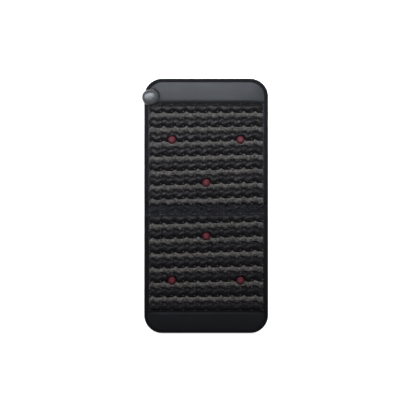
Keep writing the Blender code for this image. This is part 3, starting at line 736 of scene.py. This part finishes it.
def crease(lower, x, y, across):
    """The slanted fold that the cloth of a satin row makes from each lower knot up to the next seam."""
    node = round((x - 0.15 * (y - lower.line(x))) / WAVE) * WAVE
    away = x - node - 0.28 * (y - lower.line(node))
    depth = 2.0 * blend_to(1.0, 0.45, across)
    valley = exp(-((away / (1.9 * MM)) ** 2))
    ridge = exp(-(((away - 3.6 * MM) / (2.2 * MM)) ** 2)) + 0.6 * exp(-(((away + 4.0 * MM) / (2.6 * MM)) ** 2))
    return MM * (0.7 * ridge - depth * valley)


def dark_row(number, upper, lower, body):
    top = ROW_TOP - 0.8 * MM

    def height_at(x, y, t):
        form = row_height(x, y, t, upper, lower, 2.0, 0.74, 6.0 * MM)
        rise = blend_to(ROW_LIFT, top, form)
        rise += crease(lower, x, y, t) * form
        rise += 0.35 * MM * noise.noise(Vector((x * 45 + number, y * 95, number * 3.1))) * form
        return min(rise, ROW_TOP)

    shape = row_sheet(upper, lower, DARK_CELL, height_at)
    node = f"dark_pocket_row_{number:02d}"
    made = finished(f"satin_row_{number:02d}", shape, SATIN, body, (node,))
    simulated(made, upper, lower, frames=14, pressure=2.0, slack=0.035)
    rounded(made, ROW_LEVEL)


def stone_row(number, upper, lower, body):
    top = ROW_TOP - 0.9 * MM

    def height_at(x, y, t):
        form = row_height(x, y, t, upper, lower, 1.9, 0.40, 10.0 * MM)
        rise = blend_to(ROW_LIFT, top, form)
        here = Vector((x / (8.0 * MM), y / (8.0 * MM), number * 5.3))
        chip = noise.voronoi(here)[0][0]
        rise += (0.40 - chip) * 3.8 * MM * form
        rise += 1.3 * MM * noise.noise(here * 0.55) * form
        return min(rise, ROW_TOP)

    shape = row_sheet(upper, lower, STONE_CELL, height_at)
    node = f"stone_pocket_row_{number:02d}"
    made = finished(f"stone_row_{number:02d}", shape, STONE, body, (node,))
    rounded(made, ROW_LEVEL)


def all_rows(seams, first, body):
    dark = stone = first
    for number in range(len(seams) - 1):
        if number % 2:
            stone_row(stone, seams[number], seams[number + 1], body)
            stone += 1
        else:
            dark_row(dark, seams[number], seams[number + 1], body)
            dark += 1


all_rows(HEAD_SEAMS, 1, "head_half")
all_rows(FOOT_SEAMS, HEAD_ROWS // 2 + 1, "foot_half")


# ---------------------------------------------------------------- knots and seam stitches


def knot(shape, place, size, turn):
    """A small pad of wound thread with a bar across it."""
    stand = Matrix.Translation(place) @ Matrix.Rotation(turn, 4, "Z")
    squash = Matrix.Diagonal((size, size * 0.82, size * 0.62, 1))
    bmesh.ops.create_icosphere(shape, subdivisions=1, radius=1, matrix=stand @ squash)
    bar = Matrix.Translation((0, 0, size * 0.35)) @ Matrix.Diagonal((size * 1.25, size * 0.36, size * 0.45, 1))
    bmesh.ops.create_icosphere(shape, subdivisions=1, radius=1, matrix=stand @ bar)


def knots(name, seams, body):
    shape = bmesh.new()
    for line, seam in enumerate(seams):
        for column, x in enumerate(NODE_XS):
            inward = -1.2 * MM if x > FIELD_SIDE - MM else (1.2 * MM if x < -FIELD_SIDE + MM else 0)
            y = seam.line(x)
            if near_lens(x, y) < 3 * MM or inside_housing(x, y, 3 * MM) < 1:
                continue
            size = (2.15 + 0.25 * noise.noise(Vector((line, column, 0.5)))) * MM
            turn = 0.9 * noise.noise(Vector((column * 1.3, line * 0.7, 2.0)))
            by_side = abs(x) > FIELD_SIDE - MM
            rise = (1.3 if by_side or seam.kind in ("hem", "below fold") else 4.0) * MM
            knot(shape, (x + inward, y, ROW_LEVEL + rise), size, turn)
    finished(name, shape, KNOT_THREAD, body)


def stitches(name, runs, length, gap, radius, body):
    """Stitches laid end to end along runs of points."""
    shape = bmesh.new()
    for run in runs:
        walked = 0.0
        for start, end in zip(run, run[1:]):
            start = Vector(start)
            end = Vector(end)
            step = (end - start).length
            walked += step
            if walked < length + gap:
                continue
            walked = 0.0
            direction = (end - start).normalized()
            turn = direction.to_track_quat("X", "Z").to_matrix().to_4x4()
            stand = Matrix.Translation(end) @ turn
            size = Matrix.Diagonal((length / 2, radius, radius, 1))
            bmesh.ops.create_icosphere(shape, subdivisions=1, radius=1, matrix=stand @ size)
    return finished(name, shape, SEAM_THREAD, body)


def seam_runs(seams):
    runs = []
    step = 0.5 * MM
    for seam in seams:
        count = round(2 * FIELD_SIDE / step)
        run = []
        for number in range(count + 1):
            x = -FIELD_SIDE + number * step
            y = seam.edge(x)
            if near_lens(x, y) > 1.5 * MM and inside_housing(x, y, 2 * MM) > 1:
                run.append((x, y, ROW_LEVEL + 0.5 * MM))
        runs.append(run)
    return runs


knots("head_knots", HEAD_SEAMS, "head_half")
knots("foot_knots", FOOT_SEAMS, "foot_half")
stitches("head_seam_stitches", seam_runs(HEAD_SEAMS), 3.4 * MM, 0.7 * MM, 0.33 * MM, "head_half")
stitches("foot_seam_stitches", seam_runs(FOOT_SEAMS), 3.4 * MM, 0.7 * MM, 0.33 * MM, "foot_half")


# ---------------------------------------------------------------- cloth that crosses the fold


def half_width_at(y, inset):
    """Half the mat's width at y, for an outline drawn in by inset."""
    edge = (HEAD_EDGE if y > 0 else -FOOT_EDGE) - inset
    side = HALF_WIDTH - inset
    radius = CORNER_RADIUS - inset
    past = abs(y) - (edge - radius)
    if past <= 0:
        return side
    return side - radius + max(0.0, radius**2 - past**2) ** 0.5


def crossing(made, head):
    """Bakes a piece's placement into its mesh. Nothing here bends it at the head hinge or at the foot hinge."""
    start = HEAD_HINGE if head else FOOT_HINGE + BEND_REACH
    start - BEND_REACH
    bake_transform(made)


def wrinkle(x, y):
    """Crossing slanted folds, as cloth has where nothing fills it."""
    height = 0.0
    for turn, wide, long, share in ((0.9, 13, 34, 1.0), (-0.75, 14, 38, 0.9), (0.2, 11, 26, 0.5)):
        along = (x * cos(turn) + y * sin(turn)) / (long * MM)
        across = (-x * sin(turn) + y * cos(turn)) / (wide * MM)
        ridge = noise.noise(Vector((along, across, 4.0 + turn)))
        height += share * max(0.0, 1 - abs(ridge) * 4.0) ** 2
    return height / 2.4


def span_lines(low, high, fine_low, fine_high, coarse, fine):
    """Distances from low to high, close together between the two fine limits."""
    places = [low]
    while places[-1] < high - 1e-6:
        here = places[-1]
        step = fine if fine_low - coarse < here < fine_high else coarse
        places.append(min(high, here + step))
    return places


def fine_lines(limits, head):
    """The part of the finely drawn stretch that lies on one side of the band's middle."""
    return (BAND_MIDDLE - MM, limits[1]) if head else (limits[0], BAND_MIDDLE + MM)


def long_sheet(lines, columns, place, lay):
    """A grid whose lines across are at the given distances along the mat."""
    last = len(lines) - 1

    def at(s, t):
        return place(s, lines[round(t * last)])

    def flat(s, t):
        return lay(s, lines[round(t * last)])

    return surface(columns, last, at, flat)


def binding_height(y):
    """The binding is pressed flat where the mat folds."""
    if y > 0:
        share = smoothstep((y - HEAD_HINGE - 0.5 * MM) / (16 * MM))
    else:
        share = smoothstep((FOOT_HINGE - 0.5 * MM - y) / (16 * MM)) if y < BAND_MIDDLE else 0.0
    return blend_to(BAND_BINDING_TOP - SKIN, BINDING_TOP - SKIN, share)


def top_cloth(head):
    if head:
        low, high, first = BAND_MIDDLE, HEAD_FIELD[1] + 14 * MM, HEAD_SEAMS[-1]
    else:
        low, high, first = FOOT_FIELD[0] - 14 * MM, BAND_MIDDLE, FOOT_SEAMS[0]
    lines = span_lines(low, high, *fine_lines(BAND_CREASES, head), 9 * MM, 1.0 * MM)
    side = HALF_WIDTH - TUCK
    hinge = HEAD_HINGE if head else FOOT_HINGE
    level = CLOTH_LEVEL - SKIN

    def place(s, y):
        x = side * (2 * s - 1)
        edge = first.edge(max(-FIELD_SIDE, min(FIELD_SIDE, x)))
        past = (edge - y) if head else (y - edge)
        room = (edge - hinge) if head else (hinge - edge)
        drop = smoothstep((past - 0.3 * MM) / min(4.5 * MM, room + 1.2 * MM))
        z = blend_to(level, BAND_CLOTH_TOP, drop)
        # Under the binding the cloth lies flat, and no higher than the binding's own inner lip.
        held = smoothstep((abs(x) - HALF_WIDTH + 19 * MM) / (4 * MM))
        z += drop * 6.0 * MM * wrinkle(x, y) * (1 - held)
        return x, y, blend_to(z, min(z, 0.8 * binding_height(y)), held)

    def lay(s, y):
        return (side * (2 * s - 1), y)

    shape = long_sheet(lines, 240, place, lay)
    replaced = ("head_pocket_backing", "fold_band_top") if head else ("foot_pocket_backing",)
    made = finished(end_name(head, "pocket_cloth"), shape, TOP_CLOTH, None, replaced)
    high - low
    crossing(made, head)


def back_cover(head):
    low, high = (BAND_MIDDLE, HEAD_EDGE - TUCK) if head else (FOOT_EDGE + TUCK, BAND_MIDDLE)
    lines = span_lines(low, high, *fine_lines(BAND_BENDS, head), 6 * MM, 1.5 * MM)

    def place(s, y):
        x = half_width_at(y, TUCK) * (2 * s - 1)
        z = 0.45 * MM + 0.35 * MM * (1 + noise.noise(Vector((x * 16, y * 16, 9.0))))
        # The cloth stops inside the plate's thickness and is tucked up over the middle of it.
        under = head and inside_housing(x, y, -6.0 * MM) < 1.0
        return x, y, z + (3.4 * MM if under else 0.0)

    def lay(s, y):
        return (half_width_at(y, TUCK) * (2 * s - 1), y)

    shape = long_sheet(lines, 120, place, lay)
    bmesh.ops.reverse_faces(shape, faces=shape.faces)
    replaced = ("head_back_cover", "fold_band_back") if head else ("foot_back_cover",)
    made = finished(end_name(head, "back_cloth"), shape, BACK_CLOTH, None, replaced)
    wide = 2 * (HALF_WIDTH - TUCK)
    high - low
    wide * (high - low)
    crossing(made, head)


for make in (top_cloth, back_cover):
    make(True)
    make(False)


# ---------------------------------------------------------------- binding

CORNER_STEPS = 26
CLOSE_STEPS = 45 * MM  # up to here from the fold the binding is drawn finely
BINDING_PROFILE = (  # how far in from the mat's edge, and the share of its height
    (15.0, 0.845), (14.7, 0.925), (14.0, 0.965), (12.9, 0.955), (12.4, 0.925), (11.8, 0.955),
    (10.4, 0.990), (8.0, 1.000), (5.6, 0.985), (3.4, 0.940), (1.7, 0.850), (0.5, 0.690),
    (0.0, 0.500), (0.4, 0.300), (1.5, 0.120), (3.2, 0.030), (5.6, 0.006), (9.0, 0.006),
    (12.0, 0.010), (12.6, 0.030), (13.2, 0.010), (15.0, 0.014),
)


def edge_path(head):
    """Places round the mat's outline from one end of the fold band to the other, with the way out."""
    edge = HEAD_EDGE if head else -FOOT_EDGE
    sign = 1 if head else -1
    straight = edge - CORNER_RADIUS
    across = HALF_WIDTH - CORNER_RADIUS
    end_steps = 86

    def up_side(side):
        run = []
        y = BAND_MIDDLE * sign
        while y < straight - 1e-6:
            run.append((side * HALF_WIDTH, sign * y, (side, 0)))
            y += 1.0 * MM if y < CLOSE_STEPS else 4 * MM
        return run

    def round_corner(side, quarter):
        run = []
        for number in range(CORNER_STEPS + 1):
            turn = pi / 2 * (quarter + number / CORNER_STEPS)
            x = side * across + CORNER_RADIUS * cos(turn)
            y = straight + CORNER_RADIUS * sin(turn)
            run.append((x, sign * y, (cos(turn), sign * sin(turn))))
        return run

    path = up_side(1) + round_corner(1, 0)
    for number in range(1, end_steps):
        path.append((across - 2 * across * number / end_steps, sign * edge, (0, sign)))
    return path + round_corner(-1, 1) + up_side(-1)[::-1]


def binding(head):
    path = edge_path(head)
    walked = [0.0]
    for first, second in zip(path, path[1:]):
        walked.append(walked[-1] + hypot(second[0] - first[0], second[1] - first[1]))
    last = len(path) - 1
    corners = len(BINDING_PROFILE) - 1
    around = [0.0]
    for first, second in zip(BINDING_PROFILE, BINDING_PROFILE[1:]):
        rise = (second[1] - first[1]) * BINDING_TOP / MM
        around.append(around[-1] + hypot(second[0] - first[0], rise) * MM)

    def place(s, t):
        x, y, out = path[round(s * last)]
        inward, share = BINDING_PROFILE[round(t * corners)]
        where = walked[round(s * last)]
        pucker = noise.noise(Vector((where * 90, inward * 0.11, 3.0 if head else 8.0)))
        swell = 0.28 * MM * pucker * (1 if share > 0.5 else 0.2)
        inward = inward * MM
        z = share * binding_height(y) + swell
        x, y = x - out[0] * inward, y - out[1] * inward
        lowest = 0.05 * MM
        if head and inside_housing(x, y, 3 * MM) < 1:
            # The plate under the connector takes the binding into its own thickness.
            lowest = 3.7 * MM if inside_housing(x, y, -4 * MM) < 1 else 0.9 * MM
        return x, y, max(lowest, z)

    def lay(s, t):
        return (walked[round(s * last)], around[round(t * corners)])

    shape = surface(last, corners, place, lay)
    face_up(shape)
    if head:
        replaced = ("head_edge_binding", "fold_binding_left", "fold_binding_right")
    else:
        replaced = ("foot_edge_binding",)
    made = finished(end_name(head, "binding"), shape, TAPE, None, replaced)
    thicken(made, WALL)
    crossing(made, head)
    run = []
    for x, y, out in path:
        run.append((x - out[0] * STITCH_LINE, y - out[1] * STITCH_LINE, STITCH_SHARE * binding_height(y)))
    fine = []
    for first, second in zip(run, run[1:]):
        pieces = max(1, round((Vector(second) - Vector(first)).length / (0.5 * MM)))
        for number in range(pieces):
            fine.append(Vector(first).lerp(Vector(second), number / pieces))
    sewn = stitches(end_name(head, "binding_stitches"), [fine], 3.0 * MM, 0.8 * MM, 0.30 * MM, None)
    crossing(sewn, head)


binding(True)
binding(False)


# ---------------------------------------------------------------- end panels and their hems


def end_panel(head):
    sign = 1 if head else -1
    field = HEAD_FIELD[1] if head else -FOOT_FIELD[0]
    edge = HEAD_EDGE if head else -FOOT_EDGE
    low = field + 9.5 * MM
    high = edge - PANEL_TUCK
    long = high - low

    def at(t):
        return low + long * (1 - (1 - t) ** 1.7)

    def place(s, t):
        y = at(t)
        half = half_width_at(sign * y, PANEL_TUCK)
        x = half * (2 * s - 1)
        inside = min(half - abs(x), high - y + 2 * MM)
        crown = 1 - exp(-max(0.0, inside) / (22 * MM))
        crown *= 1 - 0.35 * exp(-(y - low) / (2.5 * MM))
        swell = noise.noise(Vector((x * 9, sign * y * 14, 2.0)))
        pulled = noise.noise(Vector((x * 60, sign * y * 12, 6.0))) * exp(-max(0.0, inside) / (9 * MM))
        z = PANEL_TOP - 0.9 * MM + 3.6 * MM * crown + 0.35 * MM * swell + 0.35 * MM * pulled
        if inside_housing(x, sign * y, 4 * MM) < 1 and head:
            z = PANEL_TOP
        return x, sign * y, z

    def lay(s, t):
        y = at(t)
        return (half_width_at(sign * y, PANEL_TUCK) * (2 * s - 1), y)

    shape = surface(150, 34, place, lay)
    face_up(shape)
    body = end_name(head, "half")
    node = end_name(head, "panel")
    made = finished(end_name(head, "leather_panel"), shape, LEATHER, body, (node,))
    wide = 2 * (HALF_WIDTH - PANEL_TUCK)
    wide * long

    start = field + 0.6 * MM
    side = FIELD_SIDE + HEM_PAST_FIELD

    def hem_place(s, t):
        x = side * (2 * s - 1)
        y = start + HEM_WIDTH * t
        z = PANEL_TOP + 1.2 * MM * (1 - (2 * t - 1) ** 4) - 0.5 * MM
        z += 0.25 * MM * noise.noise(Vector((x * 120, t * 2, 1.0)))
        z -= 0.35 * MM * exp(-(((t - 0.5) / 0.06) ** 2))
        return x, sign * y, z

    def hem_lay(s, t):
        return (side * (2 * s - 1), HEM_WIDTH * t)

    shape = surface(220, 14, hem_place, hem_lay)
    face_up(shape)
    made = finished(end_name(head, "hem_tape"), shape, TAPE, body)


end_panel(True)
end_panel(False)


# ---------------------------------------------------------------- felt and foil inside


def inner_layer(head, slot_name, node, inset, ripple, from_fold, material):
    """A layer that fills one half's outline, with a real thickness."""
    node = end_name(head, node)
    near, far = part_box(node)
    low, high = near.z, far.z
    start = max(near.y, HEAD_HINGE + from_fold) if head else near.y
    end = far.y if head else min(far.y, FOOT_HINGE - from_fold)

    def place(s, t):
        y = blend_to(start, end, t)
        x = half_width_at(y, inset) * (2 * s - 1)
        return x, y, high - ripple * (0.5 + 0.5 * noise.noise(Vector((x * 40, y * 40, 1.0))))

    shape = surface(90, 90, place)
    for face in list(shape.faces):
        centre = face.calc_center_median()
        if head and inside_housing(centre.x, centre.y, 3 * MM) < 1:
            shape.faces.remove(face)
    loose = [corner for corner in shape.verts if not corner.link_faces]
    bmesh.ops.delete(shape, geom=loose, context="VERTS")
    name = end_name(head, slot_name + "_layer")
    made = finished(name, shape, material, end_name(head, "half"), (node,))
    thicken(made, high - ripple - low)
    end - start


for head in (True, False):
    inner_layer(head, "felt", "insulation_felt", 2 * MM, 0.2 * MM, 3 * MM, FELT)
    inner_layer(head, "foil", "reflective_foil", 8 * MM, 0.15 * MM, 9 * MM, FOIL)


# ---------------------------------------------------------------- lenses

LENS_OUTLINE = (  # shares of the radius and of the rise
    (0.000, 1.000), (0.090, 0.998), (0.150, 0.985), (0.185, 0.950), (0.225, 0.945), (0.300, 0.958),
    (0.330, 0.958), (0.350, 0.935), (0.380, 0.933), (0.470, 0.936), (0.500, 0.934), (0.520, 0.908),
    (0.550, 0.905), (0.650, 0.900), (0.690, 0.892), (0.740, 0.850), (0.800, 0.770), (0.840, 0.700),
    (0.880, 0.660), (0.940, 0.640), (0.985, 0.600), (1.000, 0.540), (1.000, 0.300), (1.000, 0.000),
    (0.900, 0.000), (0.900, 0.480), (0.700, 0.600), (0.350, 0.740), (0.000, 0.760),
)


def lens(number, place, body):
    node = f"light_lens_{number}"
    low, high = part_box(node)
    rise = high.z - low.z
    shape = bmesh.new()
    corners = []
    for out, up in LENS_OUTLINE:
        at = (place[0] + out * LENS_RADIUS, place[1], low.z + up * rise)
        corners.append(shape.verts.new(at))
    edges = [shape.edges.new(pair) for pair in zip(corners, corners[1:])]
    bmesh.ops.spin(
        shape,
        geom=corners + edges,
        cent=(place[0], place[1], 0),
        axis=(0, 0, 1),
        angle=2 * pi,
        steps=48,
        use_merge=True,
        use_duplicate=False,
    )
    bmesh.ops.remove_doubles(shape, verts=shape.verts, dist=1e-5)
    bmesh.ops.recalc_face_normals(shape, faces=shape.faces)
    uv = shape.loops.layers.uv.new("UVMap")
    for face in shape.faces:
        for loop in face.loops:
            out = hypot(loop.vert.co.x - place[0], loop.vert.co.y - place[1]) / LENS_RADIUS
            loop[uv].uv = (out, loop.vert.co.z)
    made = finished(f"lens_{number}", shape, LENS, body, (node,))
    made.data.set_sharp_from_angle(angle=radians(50))


for number, place in enumerate(LENS_PLACES, 1):
    lens(number, place, "head_half" if number <= 3 else "foot_half")


# ---------------------------------------------------------------- connector housing


def in_housing(along, across, z):
    x = HOUSING_CENTRE.x + along * cos(HOUSING_TURN) - across * sin(HOUSING_TURN)
    y = HOUSING_CENTRE.y + along * sin(HOUSING_TURN) + across * cos(HOUSING_TURN)
    return x, y, z


def housing_reach(turn, z):
    """How far the skin is from the middle line, at a height and a direction. The front is blunter."""
    front = max(0.0, -cos(turn))
    side_power = SIDE_POWER + 1.6 * front**3
    plan_power = PLAN_POWER - 0.08 * smoothstep(front * 3)
    rise = min(0.999, abs(z - HOUSING_MIDDLE) / HOUSING_RADII[2])
    share = (1 - rise**side_power) ** (1 / side_power)
    long = blend_to(HOUSING_RADII[0], HOUSING_FRONT + 1.0 * MM, smoothstep(front * 3))
    plan = (abs(cos(turn)) / long) ** plan_power + (abs(sin(turn)) / HOUSING_RADII[1]) ** plan_power
    return share * plan ** (-1 / plan_power)


def housing_shell():
    around = 168
    down = 56
    top = HOUSING_MIDDLE + HOUSING_RADII[2]
    on_mat = BINDING_TOP + 0.25 * MM
    off_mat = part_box("connector_top")[0].z + 0.1 * MM

    def foot_of(turn):
        reach = housing_reach(turn, on_mat)
        x, y, _ = in_housing(reach * cos(turn), reach * sin(turn), 0)
        outside = abs(x) - HALF_WIDTH
        return blend_to(on_mat, off_mat, smoothstep((outside - 0.2 * MM) / (1.2 * MM)))

    def place(s, t):
        turn = 2 * pi * s - pi
        low = foot_of(turn)
        # Heights crowd near the top, where the skin turns over.
        angle = (1 - t) * pi / 2
        z = top - (top - low) * (1 - cos(angle)) ** 0.9 if t > 0 else low
        z = min(z, top - 1e-6) if t < 1 else top
        reach = housing_reach(turn, z) if t < 1 else 0.0
        return in_housing(reach * cos(turn), reach * sin(turn), z)

    shape = surface(around, down, place)
    bmesh.ops.remove_doubles(shape, verts=shape.verts, dist=1e-6)
    mouth = Vector(in_housing(-HOUSING_FRONT, 0, SOCKET_HEIGHT))
    outward = Vector((-cos(HOUSING_TURN), -sin(HOUSING_TURN), 0))
    cut_out = []
    for face in shape.faces:
        away = face.calc_center_median() - mouth
        if abs(away.dot(outward)) < 3 * MM and (away - outward * away.dot(outward)).length < SOCKET_HOLE:
            cut_out.append(face)
    bmesh.ops.delete(shape, geom=cut_out, context="FACES")
    rim = []
    for edge in shape.edges:
        if edge.is_boundary and (edge.verts[0].co - mouth).length < 3 * SOCKET_HOLE / 2:
            rim.append(edge)
    for corner in {corner for edge in rim for corner in edge.verts}:
        away = corner.co - mouth
        away -= outward * away.dot(outward)
        corner.co = mouth + away.normalized() * SOCKET_HOLE
    sleeve, _ = grown_from(shape, rim)
    for corner in sleeve:
        corner.co -= outward * 2.2 * MM
    face_up(shape)
    made = finished("connector_shell", shape, HOUSING, "head_half", ("connector_top",))
    made.data.set_sharp_from_angle(angle=radians(40))
    thicken(made, HOUSING_WALL)


def housing_base():
    """The plate under the connector, sunk into the mat, with a recess for each screw head."""
    low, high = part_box("connector_base")
    rounding = 0.6 * MM
    rings = 22
    outline = ((0.0, low.z), (0.97, low.z), (1.0, low.z + rounding), (1.0, high.z - rounding), (0.98, high.z))
    outline += ((0.6, high.z), (0.0, high.z))

    def place(s, t):
        turn = 2 * pi * s - pi
        number = round(t * (rings + 5))
        if number <= rings:
            share, z = outline[1][0] * number / rings, low.z
        else:
            share, z = outline[number - rings + 1]
        reach = (housing_reach(turn, 5 * MM) - 0.5 * MM) * share
        return in_housing(reach * cos(turn), reach * sin(turn), z)

    shape = surface(132, rings + 5, place)
    bmesh.ops.remove_doubles(shape, verts=shape.verts, dist=1e-6)
    bmesh.ops.recalc_face_normals(shape, faces=shape.faces)
    for number in (1, 2):
        head_low, head_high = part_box(f"housing_screw_{number}")
        middle = Vector(((head_low.x + head_high.x) / 2, (head_low.y + head_high.y) / 2, low.z))
        room = (head_high.x - head_low.x) / 2 + 0.35 * MM
        over = []
        for face in shape.faces:
            centre = face.calc_center_median()
            if centre.z < low.z + 0.1 * MM and (centre - middle).length < room:
                over.append(face)
        bmesh.ops.delete(shape, geom=over, context="FACES")
        rim = [edge for edge in shape.edges if edge.is_boundary and edge.verts[0].co.z < low.z + 0.1 * MM]
        rim = [edge for edge in rim if (edge.verts[0].co - middle).length < 2 * room]
        for corner in {corner for edge in rim for corner in edge.verts}:
            away = corner.co - middle
            corner.co = middle + away.normalized() * room
        wall, floor = grown_from(shape, rim)
        for corner in wall:
            corner.co.z += SCREW_RECESS
        bmesh.ops.holes_fill(shape, edges=floor, sides=0)
    bmesh.ops.recalc_face_normals(shape, faces=shape.faces)
    made = finished("connector_plate", shape, HOUSING, "head_half", ("connector_base",))
    made.data.set_sharp_from_angle(angle=radians(35))


housing_shell()
housing_base()

# ---------------------------------------------------------------- the rest keeps its own form

CARRIED = {
    "heating_cable": SHEATH,
    "light_harness": HARNESS,
    "temperature_sensor": BLACK_PLASTIC,
    "inlet_socket": BLACK_PLASTIC,
    "circuit_board": BOARD,
    "housing_screw": STEEL,
}
for name, node in NODES.items():
    for ending, material in CARRIED.items():
        if ending in name:
            node.data.materials.clear()
            node.data.materials.append(material)


# ---------------------------------------------------------------- studio


def studio():
    shape = bmesh.new()
    bmesh.ops.create_grid(shape, x_segments=1, y_segments=1, size=6.0)
    bmesh.ops.translate(shape, vec=(0, 0, -0.2 * MM), verts=shape.verts)
    mesh = bpy.data.meshes.new("floor")
    shape.to_mesh(mesh)
    shape.free()
    floor = bpy.data.objects.new("floor", mesh)
    bpy.context.scene.collection.objects.link(floor)
    white = Finish("studio_floor", (0.86, 0.86, 0.86), 0.9, Specular_IOR_Level=0.0)
    white.set("Emission Color", (1, 1, 1, 1))
    white.set("Emission Strength", 0.82)
    mesh.materials.append(white.material)

    world = bpy.data.worlds.new("studio")
    bpy.context.scene.world = world
    world.use_nodes = True
    background = world.node_tree.nodes["Background"]
    background.inputs["Color"].default_value = (0.92, 0.95, 1.0, 1)
    background.inputs["Strength"].default_value = 0.05

    def softbox(name, place, target, size, power, spread, colour=(1, 1, 1)):
        light = bpy.data.lights.new(name, "AREA")
        light.spread = radians(spread)
        light.shape = "RECTANGLE"
        light.size, light.size_y = size
        light.energy = power
        light.color = colour
        lamp = bpy.data.objects.new(name, light)
        bpy.context.scene.collection.objects.link(lamp)
        lamp.location = place
        lamp.rotation_euler = (Vector(target) - Vector(place)).to_track_quat("-Z", "Y").to_euler()
        return lamp

    # The head end has its own light, close to the axis of view, so that its leather shines.
    softbox("head_softbox", (-0.15, 1.02, 1.9), (-0.05, 0.50, 0), (1.5, 0.66), 3.1, 55, (0.85, 0.90, 1.0))
    for side, power in ((-1, 82), (1, 72)):
        lamp = softbox(f"side_softbox_{side + 2}", (side * 1.9, 1.5, 1.8), (0, 0, 0), (1.2, 1.2), power, 180)
        lamp.visible_glossy = False


studio()

camera_data = bpy.data.cameras.new("camera")
camera_data.lens = 85
camera_data.sensor_width = 36
camera = bpy.data.objects.new("camera", camera_data)
bpy.context.scene.collection.objects.link(camera)
camera.location = (0.0072, -0.0085, 3.82 + ROW_LEVEL)
camera.rotation_euler = (0, 0, 0)
bpy.context.scene.camera = camera
bpy.context.scene.view_settings.view_transform = "Standard"
